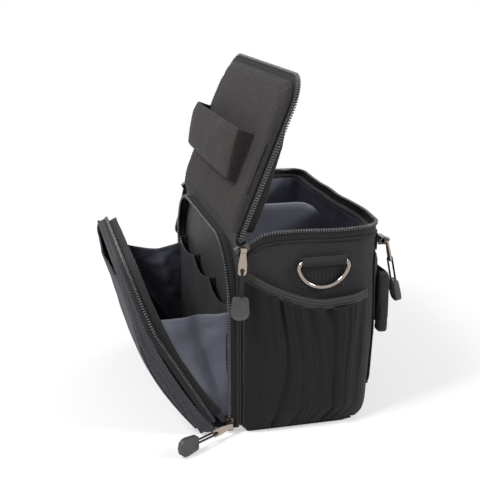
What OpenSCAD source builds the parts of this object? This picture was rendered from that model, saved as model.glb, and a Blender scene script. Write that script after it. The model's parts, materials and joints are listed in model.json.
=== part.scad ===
// Camera bag with a hinged lid, a drop-down front organiser panel, side rings, mesh side
// pockets, a padded divider and a band on the back for a luggage handle. Millimetres.
// X runs across the bag, the front faces -Y and the bag stands on Z = 0.

/* [Body] */
// Width over the two side panels
body_w = 250; // [240:1:262]
// Front face of the body, as a Y coordinate
front_y = -66; // [-68:0.5:-64]
// Height of the level part of the rim
rim_z = 184; // [182:0.5:188]
// Height of the rim at the front face
ramp_z = 170; // [168:0.5:172]
// Lean of the back face from vertical
back_lean = 3.3; // [2:0.1:4]
// Radius of the lower back edge
heel_r = 25; // [20:1:28]
// Y coordinate of the centre of the lower back edge
heel_y = 32; // [30:0.5:33]
// Radius of the two back corners seen from above
corner_r = 12; // [9:1:14]
// Thickness of the outer panels
panel_t = 3; // [2.5:0.1:3]
// Thickness of the padded walls
pad_t = 6; // [4:0.5:7]

/* [Main zip] */
// Height of the zip tape above the panels
tape_h = 7.4; // [6:0.1:8]
// Thickness of all zip tape
tape_t = 1.4; // [1:0.1:1.6]
// Width of the row of teeth
teeth_w = 2.2; // [2:0.1:2.6]

/* [Front organiser] */
// Half width of the arched zip at its centre line
arch_w = 121.5; // [119:0.1:121.5]
// Height of the top of the arched zip
arch_top = 171; // [168:0.5:171]
// Corner radius of the arched zip
arch_r = 57; // [50:1:62]
// Depth of the skirt that carries the zip in front of the body
skirt_d = 7; // [6:0.5:7]
// Y coordinate of the fold at the foot of the front panel
flap_y = -80; // [-82:0.5:-80]
// Z coordinate of the fold at the foot of the front panel
flap_z = 2; // [1:0.5:4]
// Angle by which the front panel stands open
flap_open = 27; // [20:1:29]
// Depth of the tray of the front panel behind its teeth
tray_d = 15; // [13:0.5:16]
// Height of the side gussets
gusset_z = 112; // [90:1:114]

/* [Lid] */
// Y coordinate of the fold line of the lid
fold_y = -56.7; // [-57.5:0.1:-56]
// Z coordinate of the fold line of the lid
fold_z = 183.2; // [182.8:0.1:184]
// Angle by which the lid stands open
lid_open = 68; // [60:1:72]
// Length of the lid from its fold edge to its teeth
lid_l = 148; // [138:1:150]
// Corner radius of the lid at its teeth
lid_r = 29; // [24:1:34]
// Inward edge of the lid pocket, from the fold edge
pocket_s0 = 37; // [30:1:42]
// Open edge of the lid pocket, from the fold edge
pocket_s1 = 88; // [80:1:96]
// Height of the lid pocket above the lid
pocket_t = 19; // [12:1:22]

/* [Rings] */
// Wire radius of a ring
wire_r = 2; // [1.8:0.1:2.1]
// Radius of the round side of a ring at the wire centre
ring_r = 23.5; // [23:0.5:24]
// Height of the straight bar of a ring
bar_z = 156.5; // [155:0.5:158]
// Y coordinate of the middle of a ring
ring_y = 7.7; // [4:0.1:10]
// Width of the webbing tab that holds a ring
web_w = 40; // [36:1:40]

/* [Divider] */
// Thickness of the padded divider
divider_t = 10; // [8:1:12]
// Height of the top of the divider
divider_z = 176; // [150:1:177]

/* [Zip pulls] */
// Half length of a slider
slider_l = 6; // [5.5:0.1:6.2]
// Length of the metal pull below its pin
pull_l = 21.5; // [20:0.5:22]
// Distance from the pin to the rubber grip
grip_z = 40; // [36:0.5:42]
// Radius of the pull cord
cord_r = 0.9; // [0.8:0.05:0.95]

/* [Back] */
// Thickness of the padded back pocket
back_t = 5; // [4:0.5:5]
// Gap behind the luggage band
band_gap = 7; // [6:0.5:8]

/* [Hidden] */
tall = 230;
far = 400;
half_w = body_w / 2;
chamfer = 7;
arc_steps = 8;
fine = 48;
shell_color = [0.16, 0.16, 0.16];
weave_color = [0.25, 0.24, 0.24];
heather_color = [0.3, 0.3, 0.32];
lining_color = [0.38, 0.39, 0.45];
mesh_color = [0.1, 0.1, 0.12];
trim_color = [0.12, 0.12, 0.12];
metal_color = [0.72, 0.66, 0.6];
rubber_color = [0.28, 0.28, 0.29];
foot_y = heel_y + heel_r * cos(back_lean);
foot_z = heel_r - heel_r * sin(back_lean);
ramp_end = [front_y + 20, rim_z - 2.5];
ramp_angle = atan2(ramp_end[1] - ramp_z, ramp_end[0] - front_y);
level_y = front_y + 32;
seam_h = tape_h + 2;
rail_in = 0.4;
rail_x = half_w - rail_in - teeth_w / 2;
skirt_y = front_y - skirt_d;
row_d = 2.6;
arch_z = 4;
lid_rise = 186.5 - fold_z;
lid_reach = front_y - 2 - fold_y;
lid_w = 121.5;
lid_edge = 7.5;
lid_s0 = 6;
lid_t0 = 2;
lid_t1 = 7;
wall_t = 2;
clear = 0.35;
main_slider_s = 3;
front_slider_z = 9;
back_slider_x = 112;
back_zip_z = 142;
pin_x = 5.6;
back_pin_y = 9.4;
main_lean = 5;
main_tilt = 6;
front_swing = 31;
back_tilt = 12;

// Unit vector along v.
function unit(v) = v / norm(v);

// The vector v turned left by a right angle.
function left(v) = [-v[1], v[0]];

// Corner b of a counterclockwise outline moved inward by d from its edges to a and c.
function moved(a, b, c, d) =
    let (n = left(unit(b - a)), m = left(unit(c - b))) b + d * (n + m) / (1 + n * m);

// A counterclockwise outline with every edge moved inward by d.
function inset(p, d) =
    [for (i = [0 : len(p) - 1]) moved(p[(i + len(p) - 1) % len(p)], p[i], p[(i + 1) % len(p)], d)];

// Points on an arc of radius r about c, from angle a to angle b.
function arc(c, r, a, b) =
    [for (i = [0 : arc_steps]) c + r * [cos(a + (b - a) * i / arc_steps), sin(a + (b - a) * i / arc_steps)]];

// Height of the rim at y.
function rim(y) =
    y < ramp_end[0] ? ramp_z + (y - front_y) * tan(ramp_angle)
    : y < level_y ? ramp_end[1] + (y - ramp_end[0]) * (rim_z - ramp_end[1]) / (level_y - ramp_end[0])
    : rim_z;

// Side outline of the body moved inward by d, running past the rim.
function side_outline(d) = inset(concat(
    [[front_y, tall], [front_y, chamfer], [front_y + chamfer, 0]],
    arc([heel_y, heel_r], heel_r, -90, -back_lean),
    [[foot_y + (tall - foot_z) * tan(back_lean), tall]]), d);

// Upright arch of half width w, top z1, corner radius r and foot z0.
function arch(w, z1, r, z0) = concat(
    [[-w, z0], [w, z0]],
    arc([w - r, z1 - r], r, 0, 90),
    arc([r - w, z1 - r], r, 90, 180));

// Arch of the body zip, moved outward by d.
function body_arch(d, z0) = arch(arch_w + d, arch_top + d, arch_r + d, z0);

// Arch of the front panel, moved outward by d, in the frame of its fold.
function flap_arch(d, z0) = arch(arch_w + d, arch_top - flap_z + d, arch_r + d, z0);

// Outline of the lid at its teeth, moved outward by d, from s0.
function lid_outline(d, s0) = arch(lid_w + d, lid_l + d, lid_r + d, s0);

// Extrudes an outline in Y and Z along X.
module along_x(x0, x1) {
    translate([x0, 0, 0]) rotate([90, 0, 90]) linear_extrude(x1 - x0) children();
}

// Extrudes an outline in X and Z along Y.
module along_y(y0, y1) {
    translate([0, y1, 0]) rotate([90, 0, 0]) linear_extrude(y1 - y0) children();
}

// Box between two corners.
module box(a, b) {
    translate(a) cube(b - a);
}

// Both mirror images.
module both() {
    children();
    mirror([1, 0, 0]) children();
}

// Inside of the body moved inward by d.
module tub(d) {
    intersection() {
        along_x(d - half_w, half_w - d) polygon(side_outline(d));
        translate([0, foot_y, foot_z]) rotate([-back_lean, 0, 0]) translate([0, 0, -60])
            linear_extrude(far) polygon(concat(
                [[d - half_w, -far], [half_w - d, -far]],
                arc([half_w - corner_r, -corner_r], corner_r - d, 0, 90),
                arc([corner_r - half_w, -corner_r], corner_r - d, 90, 180)));
    }
}

// Everything lower than the rim by h or more.
module below(h) {
    along_x(-far, far) polygon([
        [-100, -60], [100, -60], [100, rim_z - h], [level_y, rim_z - h],
        [ramp_end[0], ramp_end[1] - h], [-100, rim(-100) - h]]);
}

// The outer panels as one skin.
module skin() {
    difference() {
        tub(0);
        tub(panel_t);
    }
}

// The two sides and the back of the rim, where the main zip runs.
module rim_zone() {
    difference() {
        box([-far, front_y, 0], [far, far, tall]);
        box([2.7 - half_w, -far, -1], [half_w - 2.7, 30, tall + 1]);
    }
}

// Frame of the back face: X across, Y outward, Z up the face from the heel.
module at_back() {
    translate([0, foot_y, foot_z]) rotate([-back_lean, 0, 0]) children();
}

// Frame of the front panel: X across, -Y outward, Z up from the fold.
module at_flap() {
    translate([0, flap_y, flap_z]) rotate([flap_open, 0, 0]) children();
}

// Frame of the lid: X across, Y from the fold edge to the teeth, Z outward from the teeth.
module at_lid() {
    translate([0, fold_y, fold_z]) rotate([lid_open, 0, 0]) translate([0, lid_reach, lid_rise])
        children();
}

module base_panel() {
    color(shell_color) intersection() {
        skin();
        box([-far, -far, -1], [far, far, panel_t]);
    }
}

module side_panel() {
    color(shell_color) intersection() {
        skin();
        below(seam_h);
        box([half_w - corner_r, front_y + panel_t, panel_t], [far, far, tall]);
    }
}

module side_panel_right() {
    side_panel();
}

module side_panel_left() {
    mirror([1, 0, 0]) side_panel();
}

module back_panel() {
    color(shell_color) intersection() {
        skin();
        below(seam_h);
        box([corner_r - half_w, heel_y, panel_t], [half_w - corner_r, far, tall]);
    }
}

module front_panel() {
    color(weave_color) difference() {
        intersection() {
            skin();
            box([-far, -far, panel_t], [far, front_y + panel_t, arch_top + 1]);
        }
        both() difference() {
            box([half_w - 8, -far, 0], [far, far, tall]);
            below(seam_h);
        }
    }
}

module main_lining() {
    color(lining_color) difference() {
        intersection() {
            tub(panel_t);
            below(6);
        }
        tub(panel_t + pad_t);
    }
}

module corner_piping() {
    color(trim_color) both() translate([half_w - 1.2, front_y - 1.25, chamfer + 1])
        cylinder(h = ramp_z - seam_h - chamfer - 3, r = 1.2, $fn = fine);
}

module main_zip_tape() {
    color(trim_color) intersection() {
        difference() {
            tub(0.8);
            tub(0.8 + tape_t);
        }
        difference() {
            below(2);
            below(seam_h);
        }
        rim_zone();
    }
}

module main_zip_teeth() {
    color(trim_color) intersection() {
        difference() {
            tub(rail_in);
            tub(rail_in + teeth_w);
        }
        difference() {
            below(-1);
            below(2);
        }
        rim_zone();
    }
}

// Band that follows the arch of the body zip, from y0 to y1, at distances d0 to d1 from it.
module arch_band(d0, d1, y0, y1) {
    along_y(y0, y1) difference() {
        polygon(body_arch(d1, arch_z));
        polygon(body_arch(d0, arch_z - 1));
    }
}

module front_zip_tape() {
    color(trim_color) arch_band(-tape_t / 2, tape_t / 2, skirt_y, front_y);
}

module front_zip_teeth() {
    color(trim_color) arch_band(-row_d / 2, row_d / 2, skirt_y - row_d, skirt_y);
}

// Outline of a mesh pocket on the side, moved inward by d, running past its top.
function pouch_side(d) = inset([
    [-60.5, tall], [-60.5, 8], [-56, 4], [28, 4], [39, 11], [44, 22], [56, tall]], d);

// Outline of a mesh pocket seen from above, moved inward by d.
function pouch_plan(d) = inset([
    [half_w - 20, -60.5], [half_w, -60.5], [half_w + 6, -46], [half_w + 6, 42], [half_w, 54],
    [half_w - 20, 54]], d);

// Everything lower than the sagging top of a mesh pocket raised by h.
module sag(h) {
    along_x(0, far) polygon([
        [-90, -20], [90, -20], [90, 122 + h], [54, 118 + h], [30, 113.5 + h], [8, 113.2 + h],
        [-20, 117.5 + h], [-42, 128 + h], [-60.5, 142 + h], [-90, 160 + h]]);
}

// Wall of a mesh pocket, d0 to d1 inside its outline.
module pouch_wall(d0, d1) {
    difference() {
        intersection() {
            along_x(half_w, half_w + 20) polygon(pouch_side(d0));
            linear_extrude(tall) polygon(pouch_plan(d0));
        }
        intersection() {
            along_x(half_w - 1, half_w + 20) polygon(pouch_side(d1));
            linear_extrude(far) polygon(pouch_plan(d1));
        }
    }
}

module mesh_pocket_right() {
    color(mesh_color) intersection() {
        pouch_wall(0, 1.2);
        sag(0);
    }
}

module mesh_pocket_left() {
    mirror([1, 0, 0]) mesh_pocket_right();
}

module pocket_binding_right() {
    color(trim_color) intersection() {
        pouch_wall(-0.4, 1.6);
        difference() {
            sag(9);
            sag(0);
        }
    }
}

module pocket_binding_left() {
    mirror([1, 0, 0]) pocket_binding_right();
}

module ring_tab_right() {
    color(trim_color) difference() {
        union() {
            translate([half_w + 4.5, ring_y + web_w / 2, bar_z]) rotate([90, 0, 0])
                cylinder(h = web_w, r = wire_r + 2, $fn = fine);
            box([half_w, ring_y - web_w / 2, 131], [half_w + 1.6, ring_y + web_w / 2, bar_z]);
        }
        translate([half_w + 4.5, ring_y + web_w, bar_z]) rotate([90, 0, 0])
            cylinder(h = 2 * web_w, r = wire_r + clear, $fn = fine);
    }
}

module ring_tab_left() {
    mirror([1, 0, 0]) ring_tab_right();
}

module d_ring_right() {
    color(metal_color) translate([half_w + 4.5, ring_y, bar_z]) {
        translate([0, ring_r, 0]) rotate([90, 0, 0]) cylinder(h = 2 * ring_r, r = wire_r, $fn = fine);
        for (side = [-1, 1]) translate([0, side * ring_r, 0]) {
            sphere(r = wire_r, $fn = fine);
            translate([0, 0, -7.5]) cylinder(h = 7.5, r = wire_r, $fn = fine);
        }
        translate([0, 0, -7.5]) rotate([0, 90, 0]) rotate([0, 0, -90])
            rotate_extrude(angle = 180, $fn = 96) translate([ring_r, 0]) circle(r = wire_r, $fn = fine);
    }
}

module d_ring_left() {
    mirror([1, 0, 0]) d_ring_right();
}

module back_pocket() {
    color(weave_color) at_back() along_x(-118, 118)
        polygon([[0, 6], [back_t, 12], [back_t, 128], [0, 134]]);
}

module back_zip_tape() {
    color(trim_color) at_back() box([-118, 0, back_zip_z - 6.5], [118, 1.2, back_zip_z + 6.5]);
}

module back_zip_teeth() {
    color(trim_color) at_back() {
        box([-116, 1.2, back_zip_z - 0.7], [116, 3.2, back_zip_z + 0.7]);
        box([-116, 3, back_zip_z - 1.6], [116, 4.6, back_zip_z + 1.6]);
    }
}

module luggage_band() {
    color(weave_color) at_back() difference() {
        box([-118, back_t, 57], [118, back_t + band_gap + wall_t, 112]);
        box([-106, 0, 50], [106, back_t + band_gap, 120]);
    }
}

module slip_pockets() {
    color(trim_color) difference() {
        along_x(-112, 112)
            polygon([[front_y, 8], [front_y, 118], [front_y - 8.5, 118], [front_y - 8.5, 8]]);
        for (span = [[-110.5, -41], [-39.5, 31], [32.5, 110.5]])
            box([span[0], front_y - 7.3, 9.5], [span[1], front_y + 1, 119]);
    }
}

// Cloth between the front panel and the body on one side.
module gusset_right() {
    color(lining_color) along_x(114.4, 115.6) polygon([
        [front_y - 0.3, 10], [front_y - 0.3, gusset_z], [-123, gusset_z], [-76.5, 19]]);
}

module gusset_left() {
    mirror([1, 0, 0]) gusset_right();
}

module lid_fold() {
    color(weave_color) along_x(-112, 112) polygon([
        [-65.6, arch_top + 1.2], [-64, arch_top + 1.2], [-64.6, 179.6], [-66.4, 180.2]]);
}

module lid_panel() {
    color(weave_color) at_lid() translate([0, 0, lid_t0]) linear_extrude(lid_t1 - lid_t0)
        polygon(lid_outline(-lid_edge, lid_s0));
}

module lid_lining() {
    color(lining_color) at_lid() {
        translate([0, 0, 0.2]) linear_extrude(lid_t0 - 0.2) polygon(lid_outline(-9, lid_s0));
        both() along_x(-1, 88) polygon([[8, 1], [14, -6], [100, -6], [120, 1]]);
        both() along_x(87, 110) polygon([[8, 1], [10, -12], [40, -12], [88, -8], [120, 1]]);
    }
}

module lid_zip_tape() {
    color(trim_color) at_lid() translate([0, 0, 0.6]) linear_extrude(tape_t) difference() {
        polygon(lid_outline(-1.3, 11));
        polygon(lid_outline(-9, 10));
    }
}

module lid_zip_teeth() {
    color(trim_color) at_lid() linear_extrude(row_d) difference() {
        polygon(lid_outline(1.3, 11));
        polygon(lid_outline(-1.3, 10));
    }
}

// Side outline of the lid pocket moved inward by d.
function lid_pouch(d) = inset([
    [pocket_s0, -20], [pocket_s1 + 30, -20], [pocket_s1 + 30, lid_t1 + pocket_t],
    [pocket_s1 - 10, lid_t1 + pocket_t], [pocket_s0 + 7, lid_t1 + pocket_t - 6]], d);

module lid_pocket() {
    color(weave_color) at_lid() {
        difference() {
            intersection() {
                along_x(-105, 80) polygon(lid_pouch(0));
                box([-far, 0, lid_t1], [far, pocket_s1, far]);
            }
            along_x(wall_t - 105, 80 - wall_t) polygon(lid_pouch(wall_t));
        }
        box([80, pocket_s0 + 3, lid_t1], [112, pocket_s1 - 2, lid_t1 + 1.6]);
    }
}

// Side outline of the tray of the front panel.
module tray_side(y0, y1) {
    along_x(-far, far) polygon([
        [y1, 1], [y1, tall], [y0, tall], [y0, 10]]);
}

module flap_shell() {
    color(heather_color) at_flap() difference() {
        intersection() {
            along_y(-tray_d, -4.5) polygon(flap_arch(1.2, 1));
            tray_side(-tray_d, -4.5);
        }
        along_y(2.4 - tray_d, 0) polygon(flap_arch(-1.2, 10));
    }
}

module flap_lining() {
    color(lining_color) at_flap() along_y(2.5 - tray_d, 4.5 - tray_d) polygon(flap_arch(-1.4, 10.4));
}

// Band inside the teeth of the front panel that the gussets are sewn to.
module flap_guard() {
    color(trim_color) at_flap() along_y(5 - tray_d, 9.5) difference() {
        polygon(flap_arch(-3.5, 14));
        polygon(flap_arch(-5, 13));
    }
}

module flap_zip_tape() {
    color(trim_color) at_flap() along_y(-4.4, -1.6) difference() {
        polygon(flap_arch(tape_t / 2, 14));
        polygon(flap_arch(-tape_t / 2, 13));
    }
}

module flap_zip_teeth() {
    color(trim_color) at_flap() along_y(-1.6, 1) difference() {
        polygon(flap_arch(row_d / 2, 14));
        polygon(flap_arch(-row_d / 2, 13));
    }
}

// Open-topped outer pocket of the front panel, which stands off it toward the top.
module flap_pocket() {
    color(heather_color) at_flap() difference() {
        intersection() {
            along_y(-tray_d - 12, -tray_d) polygon(flap_arch(0, 14));
            along_x(-far, far) polygon([
                [-tray_d, 14], [-tray_d, tall], [-tray_d - 12, tall], [-tray_d - 1.5, 14]]);
        }
        along_x(1.6 - arch_w, arch_w - 1.6) polygon([
            [-tray_d + 1, 22], [-tray_d + 1, far], [-tray_d - 18, far], [-tray_d - 0.4, 22]]);
        box([-far, -far, arch_top - flap_z - 12], [far, 3 - tray_d, far]);
    }
}

// Padded wall across the main compartment.
module divider() {
    color(lining_color) intersection() {
        along_x(-divider_t / 2, divider_t / 2) polygon(side_outline(panel_t + pad_t + 0.5));
        along_x(-far, far) polygon(concat(
            [[-90, -10], [90, -10]],
            arc([24, divider_z - 26], 26, 0, 90),
            [[-90, divider_z]]));
    }
}

// Zip slider that wraps a row of teeth: X outward, Y along the row, Z toward its free side.
module slider(turn) {
    color(metal_color) {
        for (x = [-2.9, 1.6]) box([x, -slider_l, -3.1], [x + 1.3, slider_l, 3.1]);
        box([-2.9, -slider_l, 1.75], [2.9, slider_l, 3.1]);
        rotate([turn, 0, 0]) {
            for (y = [-4.2, 3]) box([2.5, y, -0.8], [pin_x, y + 1.2, 0.8]);
            translate([pin_x, 4.2, 0]) rotate([90, 0, 0]) cylinder(h = 8.4, r = 0.8, $fn = fine);
        }
    }
}

// Metal pull hanging from its pin: Y along the pin, -Z down.
module pull() {
    color(metal_color) difference() {
        union() {
            translate([0, 2.6, 0]) rotate([90, 0, 0]) cylinder(h = 5.2, r = 2.3, $fn = fine);
            along_x(-0.8, 0.8) polygon([
                [-2.6, 0], [-2.6, -4], [-3.8, -12], [-3.8, -pull_l + 2], [-2.2, -pull_l],
                [2.2, -pull_l], [3.8, -pull_l + 2], [3.8, -12], [2.6, -4], [2.6, 0]]);
        }
        translate([0, 5, 0]) rotate([90, 0, 0]) cylinder(h = 10, r = 0.8 + clear, $fn = fine);
        translate([-5, 0, 4.3 - pull_l]) rotate([0, 90, 0]) cylinder(h = 10, r = 1.8, $fn = fine);
    }
}

// Loop of cord from the eye of the pull to the grip.
module pull_cord() {
    color(trim_color) translate([0, 0, 2.2 - pull_l]) {
        rotate([90, 0, 0]) rotate_extrude(angle = 180, $fn = fine) translate([2.1, 0])
            circle(r = cord_r, $fn = 24);
        for (x = [-2.1, 2.1]) translate([x, 0, pull_l - 2.2 - grip_z])
            cylinder(h = grip_z + 2.2 - pull_l, r = cord_r, $fn = 24);
    }
}

// Rubber grip at the end of the cord.
module pull_grip() {
    color(rubber_color) along_x(-2.6, 2.6) polygon([
        [-5.5, -grip_z], [-6.5, -grip_z - 1.5], [-8, -grip_z - 12], [-7.6, -grip_z - 16],
        [-5, -grip_z - 19], [0, -grip_z - 20], [5, -grip_z - 19], [7.6, -grip_z - 16],
        [8, -grip_z - 12], [6.5, -grip_z - 1.5], [5.5, -grip_z]]);
}

// Frame of the main slider on the right.
module at_main() {
    translate([rail_x, front_y + main_slider_s * cos(ramp_angle), ramp_z - 0.5 + main_slider_s * sin(ramp_angle)])
        children();
}

// Frame of the pull on the right main slider.
module at_main_pull() {
    at_main() translate([pin_x, 0, 0]) rotate([-main_lean, 0, 0]) rotate([0, -main_tilt, 0])
        children();
}

// Frame of the front slider on the right.
module at_front() {
    translate([arch_w, skirt_y - row_d / 2, front_slider_z]) rotate([90, 0, 0]) children();
}

// Frame of the pull on the right front slider.
module at_front_pull() {
    at_front() translate([pin_x, 0, 0]) rotate([0, 180 + front_swing, 0]) children();
}

// Frame of the pull on the back slider, with its pin across the bag.
module at_back_pull() {
    at_back() translate([back_slider_x - slider_l, back_pin_y, back_zip_z])
        rotate([back_lean + back_tilt, 0, 0]) rotate([0, 0, 90]) children();
}

module main_slider_right() {
    at_main() rotate([ramp_angle, 0, 0]) slider(-main_lean - ramp_angle);
}

module main_slider_left() {
    mirror([1, 0, 0]) main_slider_right();
}

module main_pull_right() {
    at_main_pull() pull();
}

module main_pull_left() {
    mirror([1, 0, 0]) main_pull_right();
}

module main_cord_right() {
    at_main_pull() pull_cord();
}

module main_cord_left() {
    mirror([1, 0, 0]) main_cord_right();
}

module main_grip_right() {
    at_main_pull() pull_grip();
}

module main_grip_left() {
    mirror([1, 0, 0]) main_grip_right();
}

module front_slider_right() {
    at_front() slider(0);
}

module front_slider_left() {
    mirror([1, 0, 0]) front_slider_right();
}

module front_pull_right() {
    at_front_pull() pull();
}

module front_pull_left() {
    mirror([1, 0, 0]) front_pull_right();
}

module front_cord_right() {
    at_front_pull() pull_cord();
}

module front_cord_left() {
    mirror([1, 0, 0]) front_cord_right();
}

module front_grip_right() {
    at_front_pull() pull_grip();
}

module front_grip_left() {
    mirror([1, 0, 0]) front_grip_right();
}

module back_slider() {
    color(metal_color) at_back() translate([back_slider_x - slider_l, 0, back_zip_z]) {
        box([-slider_l, 5, -3.4], [slider_l, 6.4, 3.4]);
        for (side = [-1, 1]) scale([1, 1, side]) {
            box([-slider_l, 1.6, 2], [slider_l, 6, 3.4]);
            box([-slider_l, 1.6, 1.1], [slider_l, 2.6, 3]);
        }
        for (x = [-4.2, 3]) box([x, 6, -0.8], [x + 1.2, back_pin_y, 0.8]);
        translate([-4.2, back_pin_y, 0]) rotate([0, 90, 0]) cylinder(h = 8.4, r = 0.8, $fn = fine);
    }
}

module back_pull() {
    at_back_pull() pull();
}

module back_cord() {
    at_back_pull() pull_cord();
}

module back_grip() {
    at_back_pull() pull_grip();
}

base_panel();
side_panel_right();
side_panel_left();
back_panel();
front_panel();
main_lining();
corner_piping();
main_zip_tape();
main_zip_teeth();
front_zip_tape();
front_zip_teeth();
mesh_pocket_right();
mesh_pocket_left();
pocket_binding_right();
pocket_binding_left();
ring_tab_right();
ring_tab_left();
back_pocket();
back_zip_tape();
back_zip_teeth();
luggage_band();
slip_pockets();
gusset_right();
gusset_left();
lid_fold();
lid_panel();
lid_lining();
lid_zip_tape();
lid_zip_teeth();
lid_pocket();
flap_shell();
flap_lining();
flap_guard();
flap_zip_tape();
flap_zip_teeth();
flap_pocket();
d_ring_right();
d_ring_left();
divider();
main_slider_right();
main_pull_right();
main_cord_right();
main_grip_right();
main_slider_left();
main_pull_left();
main_cord_left();
main_grip_left();
front_slider_right();
front_pull_right();
front_cord_right();
front_grip_right();
front_slider_left();
front_pull_left();
front_cord_left();
front_grip_left();
back_slider();
back_pull();
back_cord();
back_grip();
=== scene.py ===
"""Looks of a padded camera bag: cloth, zips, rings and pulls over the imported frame."""

import json
import logging
import math
from dataclasses import dataclass
from enum import Enum
from typing import Callable, Sequence

import bmesh
import bpy
from mathutils import Matrix, Vector, noise
from mathutils.bvhtree import BVHTree


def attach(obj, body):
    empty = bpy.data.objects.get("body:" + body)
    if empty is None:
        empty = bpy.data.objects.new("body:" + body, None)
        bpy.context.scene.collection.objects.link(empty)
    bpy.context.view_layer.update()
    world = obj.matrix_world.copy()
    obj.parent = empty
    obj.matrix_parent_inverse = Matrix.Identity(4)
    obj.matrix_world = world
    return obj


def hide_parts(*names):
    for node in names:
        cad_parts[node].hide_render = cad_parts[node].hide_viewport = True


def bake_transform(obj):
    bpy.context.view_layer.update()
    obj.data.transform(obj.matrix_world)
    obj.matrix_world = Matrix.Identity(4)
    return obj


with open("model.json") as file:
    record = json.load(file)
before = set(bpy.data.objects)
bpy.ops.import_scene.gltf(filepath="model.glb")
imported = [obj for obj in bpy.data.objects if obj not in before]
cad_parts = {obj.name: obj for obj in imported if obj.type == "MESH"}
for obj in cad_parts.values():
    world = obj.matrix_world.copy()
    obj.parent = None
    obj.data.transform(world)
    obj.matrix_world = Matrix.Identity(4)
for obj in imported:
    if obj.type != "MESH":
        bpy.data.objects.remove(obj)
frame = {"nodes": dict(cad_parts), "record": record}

LOG = logging.getLogger("camera_bag")
MM = 0.001
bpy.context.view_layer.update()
Shape = Callable[[Vector, Vector], Vector]


# ---------------------------------------------------------------- small tools


def linear(code: str) -> tuple[float, float, float, float]:
    """Turns an sRGB hex colour into the linear colour that a shader takes.

    Args:
        code: Six hex digits.

    Returns:
        Red, green, blue and an alpha of 1.
    """
    parts = [int(code[i : i + 2], 16) / 255 for i in (0, 2, 4)]
    light = [c / 12.92 if c <= 0.04045 else ((c + 0.055) / 1.055) ** 2.4 for c in parts]
    return (light[0], light[1], light[2], 1.0)


def add_node(
    tree: bpy.types.NodeTree, kind: str, settings: dict | None = None, links: dict | None = None
) -> bpy.types.Node:
    """Adds a shader node.

    Args:
        tree: Tree that gets the node.
        kind: Node type, without its "ShaderNode" prefix.
        settings: Properties of the node.
        links: Input name or number, to a socket that feeds it or a value for it.

    Returns:
        The new node.
    """
    node = tree.nodes.new("ShaderNode" + kind)
    for key, value in (settings or {}).items():
        setattr(node, key, value)
    for key, value in (links or {}).items():
        if isinstance(value, bpy.types.NodeSocket):
            tree.links.new(value, node.inputs[key])
        else:
            node.inputs[key].default_value = value
    return node


def blank_material(name: str, values: dict) -> tuple[bpy.types.Material, bpy.types.Node]:
    """Makes a material with one Principled shader.

    Args:
        name: Name of the material.
        values: Constant values for the shader's own sockets.

    Returns:
        The material and its shader node.
    """
    material = bpy.data.materials.new(name)
    material.use_nodes = True
    tree = material.node_tree
    tree.nodes.clear()
    shader = add_node(tree, "BsdfPrincipled", {}, values)
    add_node(tree, "OutputMaterial", {}, {"Surface": shader.outputs[0]})
    return material, shader


def rise(t: float) -> float:
    """Smooth step from 0 to 1."""
    t = min(max(t, 0.0), 1.0)
    return t * t * (3 - 2 * t)


def hump(t: float, power: float = 1.0) -> float:
    """Smooth hump that is 0 at 0 and 1, and 1 at a half."""
    return math.sin(math.pi * min(max(t, 0.0), 1.0)) ** power


def waver(point: Vector, size: float, seed: float = 0.0) -> float:
    """Smooth noise from about -1 to 1.

    Args:
        point: Place in the row frame, in metres.
        size: Length of one wave in millimetres.
        seed: Shift that gives another pattern.

    Returns:
        The noise there.
    """
    return noise.noise(point * (1000 / size) + Vector((seed, seed * 1.7, -seed)))


def body_of(node: str) -> str:
    """Name of the body that a CAD node belongs to."""
    return next(b for b, ns in frame["record"]["behaviour"]["bodies"].items() if node in ns)


def set_weave_uv(mesh: bpy.types.Mesh, local: Matrix) -> None:
    """Lays a cloth pattern flat on the nearest side of a mesh, in metres.

    Args:
        mesh: Mesh that gets the map.
        local: Frame whose axes the threads follow.
    """
    inverse = local.inverted()
    layer = mesh.uv_layers.new(name="weave")
    points = [inverse @ v.co for v in mesh.vertices]
    turn = inverse.to_3x3()
    values = [0.0] * (2 * len(mesh.loops))
    for face in mesh.polygons:
        n = turn @ face.normal
        size = [abs(n.x), abs(n.y), abs(n.z)]
        a, b = ((1, 2), (0, 2), (0, 1))[size.index(max(size))]
        for i in face.loop_indices:
            p = points[mesh.loops[i].vertex_index]
            values[2 * i] = p[a]
            values[2 * i + 1] = p[b]
    layer.data.foreach_set("uv", values)


def new_piece(name: str, bm: bmesh.types.BMesh, material: bpy.types.Material, flat: bool = False) -> bpy.types.Object:
    """Turns a bmesh into an object with a material.

    Args:
        name: Name of the piece.
        bm: Mesh of the piece in the row frame, which is freed.
        material: Its finish.
        flat: True for hard edges.

    Returns:
        The object.
    """
    mesh = bpy.data.meshes.new(name)
    bm.to_mesh(mesh)
    bm.free()
    for face in mesh.polygons:
        face.use_smooth = not flat
    obj = bpy.data.objects.new(name, mesh)
    bpy.context.scene.collection.objects.link(obj)
    mesh.materials.append(material)
    return obj


def stand_for(obj: bpy.types.Object, *nodes: str) -> bpy.types.Object:
    """Lets a piece replace CAD nodes and move with their body."""
    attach(obj, body_of(nodes[0]))
    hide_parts(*nodes)
    return obj


def add_trim(obj: bpy.types.Object, like: str) -> bpy.types.Object:
    """Lets an extra piece move with a CAD node's body."""
    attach(obj, body_of(like))
    return obj


def node_mesh(node: str) -> bmesh.types.BMesh:
    """A merged copy of a CAD node's mesh."""
    bm = bmesh.new()
    bm.from_mesh(frame["nodes"][node].data)
    bmesh.ops.remove_doubles(bm, verts=bm.verts, dist=1e-6)
    return bm


@dataclass(frozen=True)
class Softness:
    """How a soft skin is grown from a CAD solid. Sizes in millimetres."""

    voxel: float = 2.0
    smooth: int = 4
    crease: float = 0.4
    crease_size: float = 30.0
    pressure: float = 0.0
    swell: float = 2.5
    axis: tuple[float, float, float] = (0.0, 1.0, 0.0)


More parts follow.
